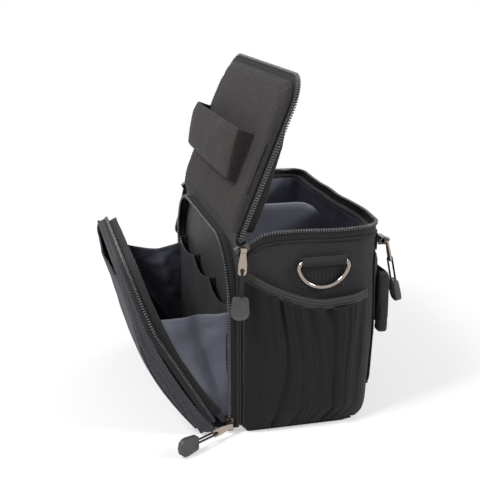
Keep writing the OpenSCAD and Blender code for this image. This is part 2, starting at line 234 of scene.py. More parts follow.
def blown_up(mesh: bpy.types.Mesh, soft: Softness) -> bpy.types.Mesh:
    """Swells a padded skin with cloth simulation, as its foam would, and divides it once.

    Args:
        mesh: Evenly remeshed skin, which is removed.
        soft: Gives the pressure and the furthest that a point may move.

    Returns:
        The swollen skin.
    """
    scene = bpy.context.scene
    start = [v.co.copy() for v in mesh.vertices]
    pad = bpy.data.objects.new("pad", mesh)
    scene.collection.objects.link(pad)
    cloth = pad.modifiers.new("cloth", "CLOTH")
    cloth.settings.use_pressure = True
    cloth.settings.uniform_pressure_force = soft.pressure
    cloth.settings.effector_weights.gravity = 0.0
    cloth.point_cache.frame_start = 1
    cloth.point_cache.frame_end = 16
    for moment in range(1, 17):
        scene.frame_set(moment)
    done = bpy.data.meshes.new_from_object(pad.evaluated_get(bpy.context.evaluated_depsgraph_get()))
    bpy.data.objects.remove(pad)
    bpy.data.meshes.remove(mesh)
    scene.frame_set(1)
    for vert, before in zip(done.vertices, start):
        across = (vert.co - before).dot(Vector(soft.axis))
        vert.co = before + Vector(soft.axis) * max(-soft.swell * MM, min(soft.swell * MM, across))
    bm = bmesh.new()
    bm.from_mesh(done)
    bmesh.ops.subdivide_edges(bm, edges=bm.edges, cuts=1, use_grid_fill=True)
    bmesh.ops.smooth_vert(bm, verts=bm.verts, factor=0.5, use_axis_x=True, use_axis_y=True, use_axis_z=True)
    bm.to_mesh(done)
    bm.free()
    return done


def soft_copy(
    node: str,
    material: bpy.types.Material,
    soft: Softness,
    shape: Shape | None = None,
    local: Matrix = Matrix.Identity(4),
) -> bpy.types.Object:
    """Grows a soft skin with round edges from a CAD solid and shapes it.

    Args:
        node: CAD node it stands for.
        material: Its cloth.
        soft: Voxel size, smoothing and creases.
        shape: Gives the move of a point from its place and its normal, in metres.
        local: Frame whose axes the threads follow.

    Returns:
        The piece, which stands for the node.
    """
    bm = node_mesh(node)
    source = new_piece(node + "_source", bm, material)
    remesh = source.modifiers.new("remesh", "REMESH")
    remesh.mode = "VOXEL"
    remesh.voxel_size = soft.voxel * MM
    remesh.adaptivity = 0.0
    mesh = bpy.data.meshes.new_from_object(source.evaluated_get(bpy.context.evaluated_depsgraph_get()))
    bpy.data.objects.remove(source)
    if soft.pressure:
        mesh = blown_up(mesh, soft)
    bm = bmesh.new()
    bm.from_mesh(mesh)
    bpy.data.meshes.remove(mesh)
    for _ in range(soft.smooth):
        bmesh.ops.smooth_vert(bm, verts=bm.verts, factor=0.5, use_axis_x=True, use_axis_y=True, use_axis_z=True)
    bm.normal_update()
    moves = []
    for vert in bm.verts:
        step = vert.normal * (soft.crease * MM * waver(vert.co, soft.crease_size, len(node)))
        if shape is not None:
            step = step + shape(vert.co, vert.normal)
        moves.append(step)
    gives = body_of(node) == "body" and not node.startswith(("ring_tab", "front_", "slip_"))
    for vert, step in zip(bm.verts, moves):
        vert.co = slumped(vert.co + step) if gives else vert.co + step
    obj = new_piece(node + "_cloth", bm, material)
    set_weave_uv(obj.data, local)
    return stand_for(obj, node)


# ---------------------------------------------------------------- paths


@dataclass(frozen=True)
class Station:
    """One place on a path: its point, its direction, and the free side of a zip there."""

    point: Vector
    along: Vector
    free: Vector

    def matrix(self) -> Matrix:
        """Frame with X across, Y along and Z toward the free side."""
        y = self.along.normalized()
        x = y.cross(self.free).normalized()
        z = x.cross(y)
        m = Matrix((x, y, z)).transposed().to_4x4()
        m.translation = self.point
        return m


def stations(points: Sequence[Vector], free: Callable[[Vector, Vector], Vector], step: float) -> list[Station]:
    """Even places along a line of points.

    Args:
        points: Corners of the line, in metres.
        free: Gives the free side from a point and the direction there.
        step: Distance between places, in millimetres.

    Returns:
        The places, from the first point to the last.
    """
    lengths = [0.0]
    for a, b in zip(points, points[1:]):
        lengths.append(lengths[-1] + (b - a).length)
    count = max(int(round(lengths[-1] / (step * MM))), 2)
    spots = []
    k = 0
    for i in range(count + 1):
        s = lengths[-1] * i / count
        while k < len(points) - 2 and lengths[k + 1] < s:
            k += 1
        t = (s - lengths[k]) / max(lengths[k + 1] - lengths[k], 1e-9)
        spots.append(points[k].lerp(points[k + 1], min(max(t, 0.0), 1.0)))
    out = []
    for i, p in enumerate(spots):
        d = (spots[min(i + 1, count)] - spots[max(i - 1, 0)]).normalized()
        out.append(Station(p, d, free(p, d)))
    return out


def sweep(
    name: str,
    path: Sequence[Station],
    section: Sequence[tuple[float, float]],
    material: bpy.types.Material,
    size: Callable[[float], float] | None = None,
) -> bpy.types.Object:
    """Runs a closed section along a path, with a map that follows it.

    Args:
        name: Name of the piece.
        path: Places along it.
        section: Corners of the section in order, across and toward the free side, in millimetres.
        material: Its finish.
        size: Scale of the section from 0 at the start to 1 at the end.

    Returns:
        The object.
    """
    bm = bmesh.new()
    run = bm.verts.layers.float.new("run")
    wrap = bm.verts.layers.float.new("wrap")
    first = path[0].matrix()
    verts = []
    around = 0.0
    for i, (a, b) in enumerate(section):
        if i:
            around += math.dist(section[i - 1], section[i])
        vert = bm.verts.new(first @ Vector((a * MM, 0, b * MM)))
        vert[wrap] = around * MM
        verts.append(vert)
    edges = [bm.edges.new((verts[i], verts[(i + 1) % len(verts)])) for i in range(len(verts))]
    bmesh.ops.contextual_create(bm, geom=list(verts))
    length = 0.0
    for i in range(1, len(path)):
        length += (path[i].point - path[i - 1].point).length
        grown = bmesh.ops.extrude_edge_only(bm, edges=edges)["geom"]
        edges = [g for g in grown if isinstance(g, bmesh.types.BMEdge)]
        ring = [g for g in grown if isinstance(g, bmesh.types.BMVert)]
        scale = size(i / (len(path) - 1)) if size else 1.0
        before = size((i - 1) / (len(path) - 1)) if size else 1.0
        move = path[i].matrix() @ Matrix.Scale(scale / before, 4) @ path[i - 1].matrix().inverted()
        bmesh.ops.transform(bm, matrix=move, verts=ring)
        for vert in ring:
            vert[run] = length
    bmesh.ops.contextual_create(bm, geom=edges)
    bmesh.ops.recalc_face_normals(bm, faces=bm.faces)
    uv = bm.loops.layers.uv.new("weave")
    for face in bm.faces:
        for loop in face.loops:
            loop[uv].uv = (loop.vert[run], loop.vert[wrap])
    return new_piece(name, bm, material)


def rounded_bar(width: float, height: float, centre: tuple[float, float] = (0, 0), cut: float = 0.3) -> list[tuple[float, float]]:
    """Corners of a rectangle with cut corners, in millimetres."""
    w, h, c = width / 2, height / 2, min(cut, width / 2.5, height / 2.5)
    ring = [(w, c - h), (w, h - c), (w - c, h), (c - w, h), (-w, h - c), (-w, c - h), (c - w, -h), (w - c, -h)]
    return [(x + centre[0], y + centre[1]) for x, y in ring]


def round_rod(radius: float, sides: int = 8) -> list[tuple[float, float]]:
    """Corners of a round section, in millimetres."""
    return [(radius * math.cos(2 * math.pi * i / sides), radius * math.sin(2 * math.pi * i / sides)) for i in range(sides)]


def repeat(
    name: str, path: Sequence[Station], maker: Callable[[bmesh.types.BMesh], None], material: bpy.types.Material
) -> bpy.types.Object:
    """Copies one small shape to every place on a path.

    Args:
        name: Name of the piece.
        path: Places for the copies.
        maker: Makes the shape at the origin, X across, Y along, Z toward the free side.
        material: Its finish.

    Returns:
        The object.
    """
    unit = bmesh.new()
    maker(unit)
    seed = bpy.data.meshes.new("seed")
    unit.to_mesh(seed)
    unit.free()
    bm = bmesh.new()
    done = 0
    for spot in path:
        bm.from_mesh(seed)
        bm.verts.ensure_lookup_table()
        fresh = bm.verts[done:]
        bmesh.ops.transform(bm, matrix=spot.matrix(), verts=fresh)
        done = len(bm.verts)
    bpy.data.meshes.remove(seed)
    return new_piece(name, bm, material)


def cut_box(bm: bmesh.types.BMesh, size: tuple[float, float, float], bevel: float) -> None:
    """Makes a small bevelled box at the origin, sizes in millimetres."""
    made = bmesh.ops.create_cube(bm, size=1.0)["verts"]
    bmesh.ops.scale(bm, vec=Vector(size) * MM, verts=made)
    bmesh.ops.bevel(
        bm, geom=list(bm.edges), offset=bevel * MM, segments=1, profile=0.5, affect="EDGES", material=-1
    )


def tooth(bm: bmesh.types.BMesh) -> None:
    """One turn of a zip coil: a bevelled block across the tape."""
    cut_box(bm, (3.5, 1.7, 3.0), 0.55)


def stitch(bm: bmesh.types.BMesh) -> None:
    """One sewn stitch: a short fat thread with bevelled ends."""
    cut_box(bm, (0.5, 2.3, 0.42), 0.16)


def sewn_line(
    name: str,
    onto: bpy.types.Object,
    points: Sequence[Vector],
    side: Vector,
    material: bpy.types.Material,
    pitch: float = 3.2,
) -> bpy.types.Object:
    """Lays stitches along a line on a piece's skin.

    Args:
        name: Name of the piece.
        onto: Piece that is sewn.
        points: Corners of the line, near the skin.
        side: Direction the skin faces.
        material: Thread.
        pitch: Distance between stitches in millimetres.

    Returns:
        The stitches, which still have to ride.
    """
    mesh = onto.data
    tree = BVHTree.FromPolygons([v.co for v in mesh.vertices], [p.vertices for p in mesh.polygons])
    spots = []
    for spot in stations(points, lambda p, d: side, pitch):
        hit, normal, _, _ = tree.ray_cast(spot.point + side * 0.03, -side, 0.06)
        if hit is not None and normal.dot(side) > 0.2:
            spots.append(Station(hit + normal * 0.1 * MM, spot.along, normal))
    return repeat(name, spots, stitch, material)


def arc_points(centre: Vector, u: Vector, v: Vector, radius: float, start: float, end: float, count: int = 16) -> list[Vector]:
    """Points on an arc in the plane of u and v, with angles in degrees and the radius in metres."""
    out = []
    for i in range(count + 1):
        a = math.radians(start + (end - start) * i / count)
        out.append(centre + (u * math.cos(a) + v * math.sin(a)) * radius)
    return out


def arch_points(place: Matrix, half: float, top: float, radius: float, foot: float, depth: float) -> list[Vector]:
    """Line over an upright arch in the X and Z of a frame.

    Args:
        place: Frame of the arch.
        half: Half width, in millimetres.
        top: Height of its top.
        radius: Radius of its corners.
        foot: Height of its feet.
        depth: Its place along the frame's Y.

    Returns:
        Points from the right foot over the top to the left foot, in metres.
    """
    x, z = Vector((1, 0, 0)), Vector((0, 0, 1))
    flat = [Vector((half * MM, 0, foot * MM))]
    flat += arc_points(Vector(((half - radius) * MM, 0, (top - radius) * MM)), x, z, radius * MM, 0, 90)
    flat += arc_points(Vector(((radius - half) * MM, 0, (top - radius) * MM)), x, z, radius * MM, 90, 180)
    flat.append(Vector((-half * MM, 0, foot * MM)))
    return [place @ (p + Vector((0, depth * MM, 0))) for p in flat]


# ---------------------------------------------------------------- finishes


class Weave(Enum):
    """How the threads of a cloth cross."""

    PLAIN = (1, 2, 1)
    TWILL = (1, 4, 2)
    BASKET = (2, 2, 1)


@dataclass(frozen=True)
class WovenCloth:
    """Woven nylon or polyester: threads stand up in rows, so it is matt with a soft sheen."""

    name: str
    thread: str
    shade: str
    pitch: float
    weave: Weave = Weave.PLAIN
    relief: float = 0.25
    roughness: float = 0.9
    fleck: str = ""
    fleck_level: float = 0.62
    fold_size: float = 14.0
    fold_depth: float = 0.5
    crumpled: bool = False

    def make(self) -> bpy.types.Material:
        """Builds the material. Threads are wider than real ones where those would be too fine to show."""
        values = {"Roughness": self.roughness, "Sheen Weight": 0.05, "Sheen Roughness": 0.5, "Specular IOR Level": 0.3}
        material, shader = blank_material(self.name, values)
        tree = material.node_tree
        uv = add_node(tree, "UVMap", {"uv_map": "weave"}).outputs["UV"]
        split = add_node(tree, "SeparateXYZ", {}, {0: uv})
        group, period, over = self.weave.value
        waves, cells = [], []
        for axis in (0, 1):
            count = add_node(tree, "Math", {"operation": "MULTIPLY"}, {0: split.outputs[axis], 1: 1000 / self.pitch})
            turn = add_node(tree, "Math", {"operation": "MULTIPLY"}, {0: count.outputs[0], 1: math.pi})
            sine = add_node(tree, "Math", {"operation": "SINE"}, {0: turn.outputs[0]})
            waves.append(add_node(tree, "Math", {"operation": "ABSOLUTE"}, {0: sine.outputs[0]}))
            wide = add_node(tree, "Math", {"operation": "DIVIDE"}, {0: count.outputs[0], 1: float(group)})
            cells.append(add_node(tree, "Math", {"operation": "FLOOR"}, {0: wide.outputs[0]}))
        total = add_node(tree, "Math", {"operation": "ADD"}, {0: cells[0].outputs[0], 1: cells[1].outputs[0]})
        rest = add_node(tree, "Math", {"operation": "FLOORED_MODULO"}, {0: total.outputs[0], 1: float(period)})
        pick = add_node(tree, "Math", {"operation": "LESS_THAN"}, {0: rest.outputs[0], 1: over - 0.5})
        height = add_node(
            tree, "Mix", {"data_type": "FLOAT"}, {0: pick.outputs[0], 2: waves[0].outputs[0], 3: waves[1].outputs[0]}
        )
        tone = add_node(
            tree,
            "Mix",
            {"data_type": "RGBA"},
            {0: height.outputs[0], 6: linear(self.shade), 7: linear(self.thread)},
        )
        colour = tone.outputs[2]
        place = add_node(tree, "TexCoord").outputs["Object"]
        if self.fleck:
            grain = add_node(
                tree, "TexNoise", {"noise_dimensions": "2D"}, {"Vector": uv, "Scale": 1900 / self.pitch, "Detail": 2.0}
            )
            ramp = add_node(tree, "ValToRGB", {}, {0: grain.outputs[0]})
            ramp.color_ramp.elements[0].position = self.fleck_level - 0.08
            ramp.color_ramp.elements[1].position = self.fleck_level + 0.05
            fleck = add_node(
                tree, "Mix", {"data_type": "RGBA"}, {0: ramp.outputs[0], 6: colour, 7: linear(self.fleck)}
            )
            colour = fleck.outputs[2]
        cloud = add_node(tree, "TexNoise", {}, {"Vector": place, "Scale": 22.0, "Detail": 3.0})
        fade = add_node(tree, "MapRange", {}, {0: cloud.outputs[0], 3: 0.82, 4: 1.18})
        worn = add_node(tree, "Mix", {"data_type": "RGBA", "blend_type": "MULTIPLY"}, {0: 1.0, 6: colour, 7: fade.outputs[0]})
        tree.links.new(worn.outputs[2], shader.inputs["Base Color"])
        kind = {"noise_type": "RIDGED_MULTIFRACTAL"} if self.crumpled else {}
        folds = add_node(tree, "TexNoise", kind, {"Vector": place, "Scale": 1000 / self.fold_size, "Detail": 2.0})
        soft = add_node(tree, "Bump", {}, {"Height": folds.outputs[0], "Distance": self.fold_depth * MM, "Strength": 0.6})
        bump = add_node(
            tree,
            "Bump",
            {},
            {"Height": height.outputs[0], "Distance": self.relief * MM, "Strength": 0.8, "Normal": soft.outputs[0]},
        )
        tree.links.new(bump.outputs[0], shader.inputs["Normal"])
        return material


@dataclass(frozen=True)
class KnitMesh:
    """Warp-knitted stretch mesh: thin strands round small dark holes, with a faint nylon shine."""

    name: str
    strand: str
    hole: str
    pitch: float

    def make(self) -> bpy.types.Material:
        """Builds the material. Its holes are wider than real ones, which would be too fine to show."""
        values = {"Roughness": 0.6, "Sheen Weight": 0.0, "Specular IOR Level": 0.22}
        material, shader = blank_material(self.name, values)
        tree = material.node_tree
        uv = add_node(tree, "UVMap", {"uv_map": "weave"}).outputs["UV"]
        split = add_node(tree, "SeparateXYZ", {}, {0: uv})
        waves = []
        for axis, share in ((0, 1.0), (1, 0.62)):
            turn = add_node(
                tree, "Math", {"operation": "MULTIPLY"}, {0: split.outputs[axis], 1: 2000 * math.pi * share / self.pitch}
            )
            waves.append(add_node(tree, "Math", {"operation": "COSINE"}, {0: turn.outputs[0]}))
        both = add_node(tree, "Math", {"operation": "MULTIPLY"}, {0: waves[0].outputs[0], 1: waves[1].outputs[0]})
        open_ = add_node(tree, "MapRange", {"interpolation_type": "SMOOTHSTEP"}, {0: both.outputs[0], 1: 0.1, 2: 0.55})
        tone = add_node(
            tree, "Mix", {"data_type": "RGBA"}, {0: open_.outputs[0], 6: linear(self.strand), 7: linear(self.hole)}
        )
        tree.links.new(tone.outputs[2], shader.inputs["Base Color"])
        bump = add_node(tree, "Bump", {"invert": True}, {"Height": open_.outputs[0], "Distance": 0.3 * MM, "Strength": 0.8})
        tree.links.new(bump.outputs[0], shader.inputs["Normal"])
        return material


@dataclass(frozen=True)
class RibbedTape:
    """Woven narrow goods, such as zip tape, webbing and binding: close ribs along or across the run."""

    name: str
    rib: str
    shade: str
    pitch: float
    across: bool = True
    roughness: float = 0.8
    mapped: bool = True

    def make(self) -> bpy.types.Material:
        """Builds the material. Its map runs along the tape in X and round it in Y, or is the object's own place."""
        values = {"Roughness": self.roughness, "Sheen Weight": 0.05, "Specular IOR Level": 0.35}
        material, shader = blank_material(self.name, values)
        tree = material.node_tree
        if self.mapped:
            place = add_node(tree, "UVMap", {"uv_map": "weave"}).outputs["UV"]
        else:
            place = add_node(tree, "TexCoord").outputs["Object"]
        split = add_node(tree, "SeparateXYZ", {}, {0: place})
        ribs = []
        runs = ((0, 1.0), (1, 0.45)) if self.across else ((1, 1.0), (0, 0.45))
        for axis, share in runs if self.mapped else ((2, 1.0), (1, 0.7)):
            turn = add_node(
                tree, "Math", {"operation": "MULTIPLY"}, {0: split.outputs[axis], 1: 1000 * math.pi * share / self.pitch}
            )
            sine = add_node(tree, "Math", {"operation": "SINE"}, {0: turn.outputs[0]})
            ribs.append(add_node(tree, "Math", {"operation": "ABSOLUTE"}, {0: sine.outputs[0]}))
        height = add_node(tree, "Math", {"operation": "MULTIPLY"}, {0: ribs[0].outputs[0], 1: ribs[1].outputs[0]})
        tone = add_node(
            tree, "Mix", {"data_type": "RGBA"}, {0: height.outputs[0], 6: linear(self.shade), 7: linear(self.rib)}
        )
        tree.links.new(tone.outputs[2], shader.inputs["Base Color"])
        bump = add_node(tree, "Bump", {}, {"Height": height.outputs[0], "Distance": 0.25 * MM, "Strength": 0.9})
        tree.links.new(bump.outputs[0], shader.inputs["Normal"])
        return material


@dataclass(frozen=True)
class PlatedMetal:
    """Nickel-plated zinc or steel: a bright metal with a faint orange-peel and fine scratches."""

    name: str
    colour: str
    roughness: float

    def make(self) -> bpy.types.Material:
        """Builds the material."""
        material, shader = blank_material(self.name, {"Metallic": 1.0, "Base Color": linear(self.colour)})
        tree = material.node_tree
        place = add_node(tree, "TexCoord").outputs["Object"]
        marks = add_node(tree, "TexNoise", {}, {"Vector": place, "Scale": 900.0, "Detail": 3.0})
        rough = add_node(
            tree, "MapRange", {}, {0: marks.outputs[0], 3: self.roughness * 0.7, 4: self.roughness * 1.4}
        )
        tree.links.new(rough.outputs[0], shader.inputs["Roughness"])
        bump = add_node(tree, "Bump", {}, {"Height": marks.outputs[0], "Distance": 0.02 * MM, "Strength": 0.5})
        tree.links.new(bump.outputs[0], shader.inputs["Normal"])
        return material


@dataclass(frozen=True)
class MouldedPolymer:
    """Moulded rubber or nylon: one colour with a fine spark-eroded grain and a broad soft shine."""

    name: str
    colour: str
    roughness: float
    grain: float = 0.6
    relief: float = 0.05

    def make(self) -> bpy.types.Material:
        """Builds the material."""
        material, shader = blank_material(self.name, {"Roughness": self.roughness, "Specular IOR Level": 0.5})
        tree = material.node_tree
        place = add_node(tree, "TexCoord").outputs["Object"]
        grain = add_node(tree, "TexNoise", {}, {"Vector": place, "Scale": 1000 / self.grain, "Detail": 2.0})
        dust = add_node(tree, "TexNoise", {}, {"Vector": place, "Scale": 70.0, "Detail": 2.0})
        fade = add_node(tree, "MapRange", {}, {0: dust.outputs[0], 3: 0.85, 4: 1.2})
        tone = add_node(
            tree,
            "Mix",
            {"data_type": "RGBA", "blend_type": "MULTIPLY"},
            {0: 1.0, 6: linear(self.colour), 7: fade.outputs[0]},
        )
        tree.links.new(tone.outputs[2], shader.inputs["Base Color"])
        bump = add_node(tree, "Bump", {}, {"Height": grain.outputs[0], "Distance": self.relief * MM, "Strength": 0.6})
        tree.links.new(bump.outputs[0], shader.inputs["Normal"])
        return material


class Finishes:
    """Every material of the bag, made once."""

    def __init__(self) -> None:
        """Makes the materials."""
        self.side = WovenCloth("side_twill", "2e2d30", "060607", 1.9, Weave.PLAIN, 0.5, fold_size=40, fold_depth=2.5).make()
        self.front = WovenCloth("front_ballistic", "312d2c", "0d0c0b", 2.0, Weave.TWILL, 0.4, fold_size=40, fold_depth=2.5).make()
        self.heather = WovenCloth(
            "heather_weave", "323237", "19191c", 1.5, Weave.PLAIN, 0.35, fleck="4b4b52", fleck_level=0.55
        ).make()
        self.lining = WovenCloth(
            "lining_cloth", "5c5e6a", "45464f", 1.0, Weave.PLAIN, 0.08, 0.55, fold_size=48, fold_depth=8.0, crumpled=True
        ).make()
        # The same lining cloth painted lighter: painted light that makes up for the shade inside the main compartment,
        # used on its lining and the divider.
        self.padded_lining = WovenCloth(
            "padded_lining_cloth", "6b6d7a", "51525c", 1.0, Weave.PLAIN, 0.08, 0.55, fold_size=50, fold_depth=6.0, crumpled=True
        ).make()
        self.slip = WovenCloth(
            "slip_cloth", "1f1f24", "101013", 1.0, Weave.PLAIN, 0.08, 0.6, fold_size=50, fold_depth=4.0, crumpled=True
        ).make()
        self.mesh = KnitMesh("stretch_mesh", "101013", "010101", 3.2).make()
        self.binding = RibbedTape("elastic_binding", "3b3c39", "121312", 1.3).make()
        self.tape = RibbedTape("zip_tape", "1d1d1e", "070707", 0.9).make()
        self.webbing = RibbedTape("flat_webbing", "232324", "080809", 1.6, across=False).make()
        self.cord = RibbedTape("braided_cord", "1c1c1d", "060606", 1.2, mapped=False).make()
        self.teeth = MouldedPolymer("nylon_coil", "38383a", 0.22, 0.8, 0.02).make()
        self.thread = MouldedPolymer("sewing_thread", "303031", 0.6, 0.3, 0.05).make()
        self.rubber = MouldedPolymer("moulded_rubber", "363739", 0.55, 0.7, 0.06).make()
        self.ring = PlatedMetal("polished_nickel", "9c9189", 0.1).make()
        self.slider = PlatedMetal("dark_nickel", "5c5651", 0.25).make()
        self.pull = PlatedMetal("champagne_nickel", "a99b8f", 0.24).make()


# ---------------------------------------------------------------- frames of the moving panels


def turned(origin: tuple[float, float, float], degrees: float) -> Matrix:
    """Frame at a point in millimetres, turned about X."""
    return Matrix.Translation(Vector(origin) * MM) @ Matrix.Rotation(math.radians(degrees), 4, "X")


@dataclass(frozen=True)
class Sizes:
    """Sizes shared by several sub-assemblies, in millimetres and degrees."""

    half: float = 125.0
    front: float = -66.0
    rim: float = 184.0
    ramp: float = 170.0
    corner: float = 12.0
    lean: float = 3.3
    foot_y: float = 32 + 25 * math.cos(math.radians(3.3))
    foot_z: float = 25 - 25 * math.sin(math.radians(3.3))
    arch_half: float = 121.5
    arch_top: float = 171.0
    arch_r: float = 57.0
    flap_y: float = -80.0
    flap_z: float = 2.0
    flap_open: float = 27.0
    tray: float = 15.0
    fold_y: float = -56.7
    fold_z: float = 183.2
    lid_open: float = 68.0
    lid_l: float = 148.0
    lid_r: float = 29.0

    def rim_at(self, y: float) -> float:
        """Height of the rim at a Y coordinate."""
        if y < self.front + 20:
            return self.ramp + (y - self.front) * (self.rim - 2.5 - self.ramp) / 20
        if y < self.front + 32:
            return self.rim - 2.5 + (y - self.front - 20) * 2.5 / 12
        return self.rim

    def back_at(self, z: float) -> float:
        """Y coordinate of the back face at a height."""
        return self.foot_y + (z - self.foot_z) * math.tan(math.radians(self.lean))

    def flap_place(self) -> Matrix:
        """Frame of the front panel."""
        return turned((0, self.flap_y, self.flap_z), self.flap_open)

    def lid_place(self) -> Matrix:
        """Frame of the lid."""
        shift = Matrix.Translation(Vector((0, self.front - 2 - self.fold_y, 186.5 - self.fold_z)) * MM)
        return turned((0, self.fold_y, self.fold_z), self.lid_open) @ shift

    def back_place(self) -> Matrix:
        """Frame of the back face."""
        return turned((0, self.foot_y, self.foot_z), -self.lean)


SIZE = Sizes()


def point(x: float, y: float, z: float) -> Vector:
    """Point in the row frame from millimetres."""
    return Vector((x, y, z)) * MM


def slumped(p: Vector) -> Vector:
    """Lets the upper body give as soft walls do: rounder back corners and a rim that sags and waves.

    Args:
        p: Point of the body in the row frame, in metres.

    Returns:
        The point after the walls have given.
    """
    side = 1 if p.x >= 0 else -1
    x, y, z = abs(p.x) / MM, p.y / MM, p.z / MM
    round_ = 26.0
    back = SIZE.back_at(z)
    a, b = x - SIZE.half + round_, y - back + round_
    give = rise((z - 70) / 90)
    if a > 0 and b > 0 and give > 0:
        reach = math.hypot(a, b)
        edge = round_ * reach / max(a, b)
        inset = round_ - SIZE.corner
        if edge * min(a, b) / reach > inset:
            middle = inset * (a + b) / reach
            edge = middle + math.sqrt(max(middle**2 - 2 * inset**2 + SIZE.corner**2, 0))
        share = 1 + give * (round_ / edge - 1)
        x, y = SIZE.half - round_ + a * share, back - round_ + b * share
    top = rise((z - 148) / 32) * rise((y + 50) / 30)
    z -= top * (1.2 + 2.2 * noise.noise(Vector((side * x / 60, y / 45, 2))))
    y += top * rise((y - 30) / 22) * 3.5 * max(noise.noise(Vector((side * x / 48, 5, 1))), 0)
    x += top * rise((x - 98) / 14) * rise((45 - y) / 20) * 2.2 * noise.noise(Vector((side, y / 40, 8)))
    return point(side * x, y, z)


# ---------------------------------------------------------------- sub-assemblies


@dataclass
class OuterShell:
    """Padded outer walls of the body, their piping and their seams."""

    dome: float = 3.0
    seam_h: float = 9.4

    def build(self, fin: Finishes) -> None:
        """Builds the sides, the back, the base and the front."""
        for side, name in ((1, "right"), (-1, "left")):
            obj = soft_copy(
                f"side_panel_{name}",
                fin.side,
                Softness(1.6, 4, 0.5, 26),
                lambda p, n, s=side: Vector((s, 0, 0)) * self.side_dome(p),
            )
            self.sew_side(obj, side, name, fin)
            self.pipe_side(side, name, fin)
        back = soft_copy(
            "back_panel", fin.side, Softness(1.8, 4, 0.5, 30), None, SIZE.back_place()
        )
        soft_copy("base_panel", fin.side, Softness(1.6, 3, 0.0, 30))
        soft_copy("front_panel", fin.slip, Softness(1.6, 3, 0.3, 30))
        LOG.info("outer shell: %d faces on the back", len(back.data.polygons))

    def side_dome(self, p: Vector) -> float:
        """How far the padding pushes a side wall out at a point."""
        v = hump((p.z / MM - 2) / 172, 0.6)
        u = hump((p.y / MM - SIZE.front) / 120, 0.6)
        return self.dome * MM * (u * v - 0.25)

    def sew_side(self, obj: bpy.types.Object, side: int, name: str, fin: Finishes) -> None:
        """Sews the top seam of a side wall."""
        line = [point(side * SIZE.half, y, SIZE.rim_at(y) - self.seam_h - 2.2) for y in range(-60, 52, 4)]
        add_trim(sewn_line(f"side_seam_{name}", obj, line, Vector((side, 0, 0)), fin.thread), "side_panel_right")

    def pipe_side(self, side: int, name: str, fin: Finishes) -> None:
        """Runs piping up the front edge and along the back edge of a side wall."""
        x = side * (SIZE.half - 1.3)
        line = [point(x, SIZE.front - 0.9, z) for z in range(6, 160, 6)]
        path = stations(line, lambda p, d: Vector((0, -1, 0)), 3)
        obj = sweep(f"front_piping_{name}", path, round_rod(1.3, 10), fin.tape)
        stand_for(obj, "corner_piping")
        wide = SIZE.half - SIZE.corner
        line = [slumped(point(side * (wide + 1), SIZE.back_at(z) + 0.2, z)) for z in range(30, 133, 6)]
        path = stations(line, lambda p, d: Vector((0, 1, 0)), 3)
        add_trim(sweep(f"back_piping_{name}", path, round_rod(1.5, 8), fin.tape), "corner_piping")


@dataclass
class RimZip:
    """Zip that runs round the rim: tape, teeth and the seam under it."""

    inset: float = 1.5
    pitch: float = 2.3

    def line(self, drop: float, inset: float) -> list[Vector]:
        """Line round the rim.

        Args:
            drop: Distance below the rim in millimetres.
            inset: Distance inside the outer face.

        Returns:
            Points from the right front end round the back to the left front end.
        """
        x = SIZE.half - inset
        back = SIZE.back_at(SIZE.rim - drop) - inset
        r = SIZE.corner - inset
        right = [point(x, y, SIZE.rim_at(y) - drop) for y in range(-64, int(back - r), 2)]
        up = Vector((0, 0, 1))
        turn = arc_points(point(x - r, back - r, SIZE.rim - drop), Vector((1, 0, 0)), Vector((0, 1, 0)), r * MM, 0, 90, 10)
        half = right + turn
        middle = [half[-1].lerp(Vector((-half[-1].x, half[-1].y, half[-1].z)), k / 30) for k in range(1, 30)]
        whole = half + middle + [Vector((-p.x, p.y, p.z)) for p in reversed(half)]
        return [slumped(p) for p in whole]

    def build(self, fin: Finishes) -> None:
        """Builds the tape, the teeth and the edge tape behind them."""
        up = lambda p, d: Vector((0, 0, 1))
        teeth = stations(self.line(0.6, self.inset), up, self.pitch)
        stand_for(repeat("rim_teeth", teeth, tooth, fin.teeth), "main_zip_teeth")
        tape = stations(self.line(5.6, self.inset), up, 3)
        obj = sweep("rim_tape", tape, rounded_bar(1.2, 8.2), fin.tape)
        stand_for(obj, "main_zip_tape")
        cordline = stations(self.line(9.4, 0.4), up, 3)
        add_trim(sweep("rim_seam", cordline, round_rod(1.0, 8), fin.tape), "main_zip_tape")
        LOG.info("rim zip: %d teeth", len(teeth))


@dataclass
class ArchZip:
    """Arched zip on the front of the body: its skirt and teeth."""

    skirt: float = 7.0
    pitch: float = 2.3

    def build(self, fin: Finishes) -> None:
        """Builds the skirt and the teeth."""
        place = Matrix.Identity(4)
        free = lambda p, d: Vector((0, -1, 0))
        depth = SIZE.front - self.skirt - 1.2
        line = arch_points(place, SIZE.arch_half, SIZE.arch_top, SIZE.arch_r, 4, depth)
        stand_for(repeat("arch_teeth", stations(line, free, self.pitch), tooth, fin.teeth), "front_zip_teeth")
        line = arch_points(place, SIZE.arch_half, SIZE.arch_top, SIZE.arch_r, 4, SIZE.front - 3.4)
        stand_for(sweep("arch_skirt", stations(line, free, 3), rounded_bar(1.6, 7.4), fin.tape), "front_zip_tape")
        LOG.info("arched zip built")


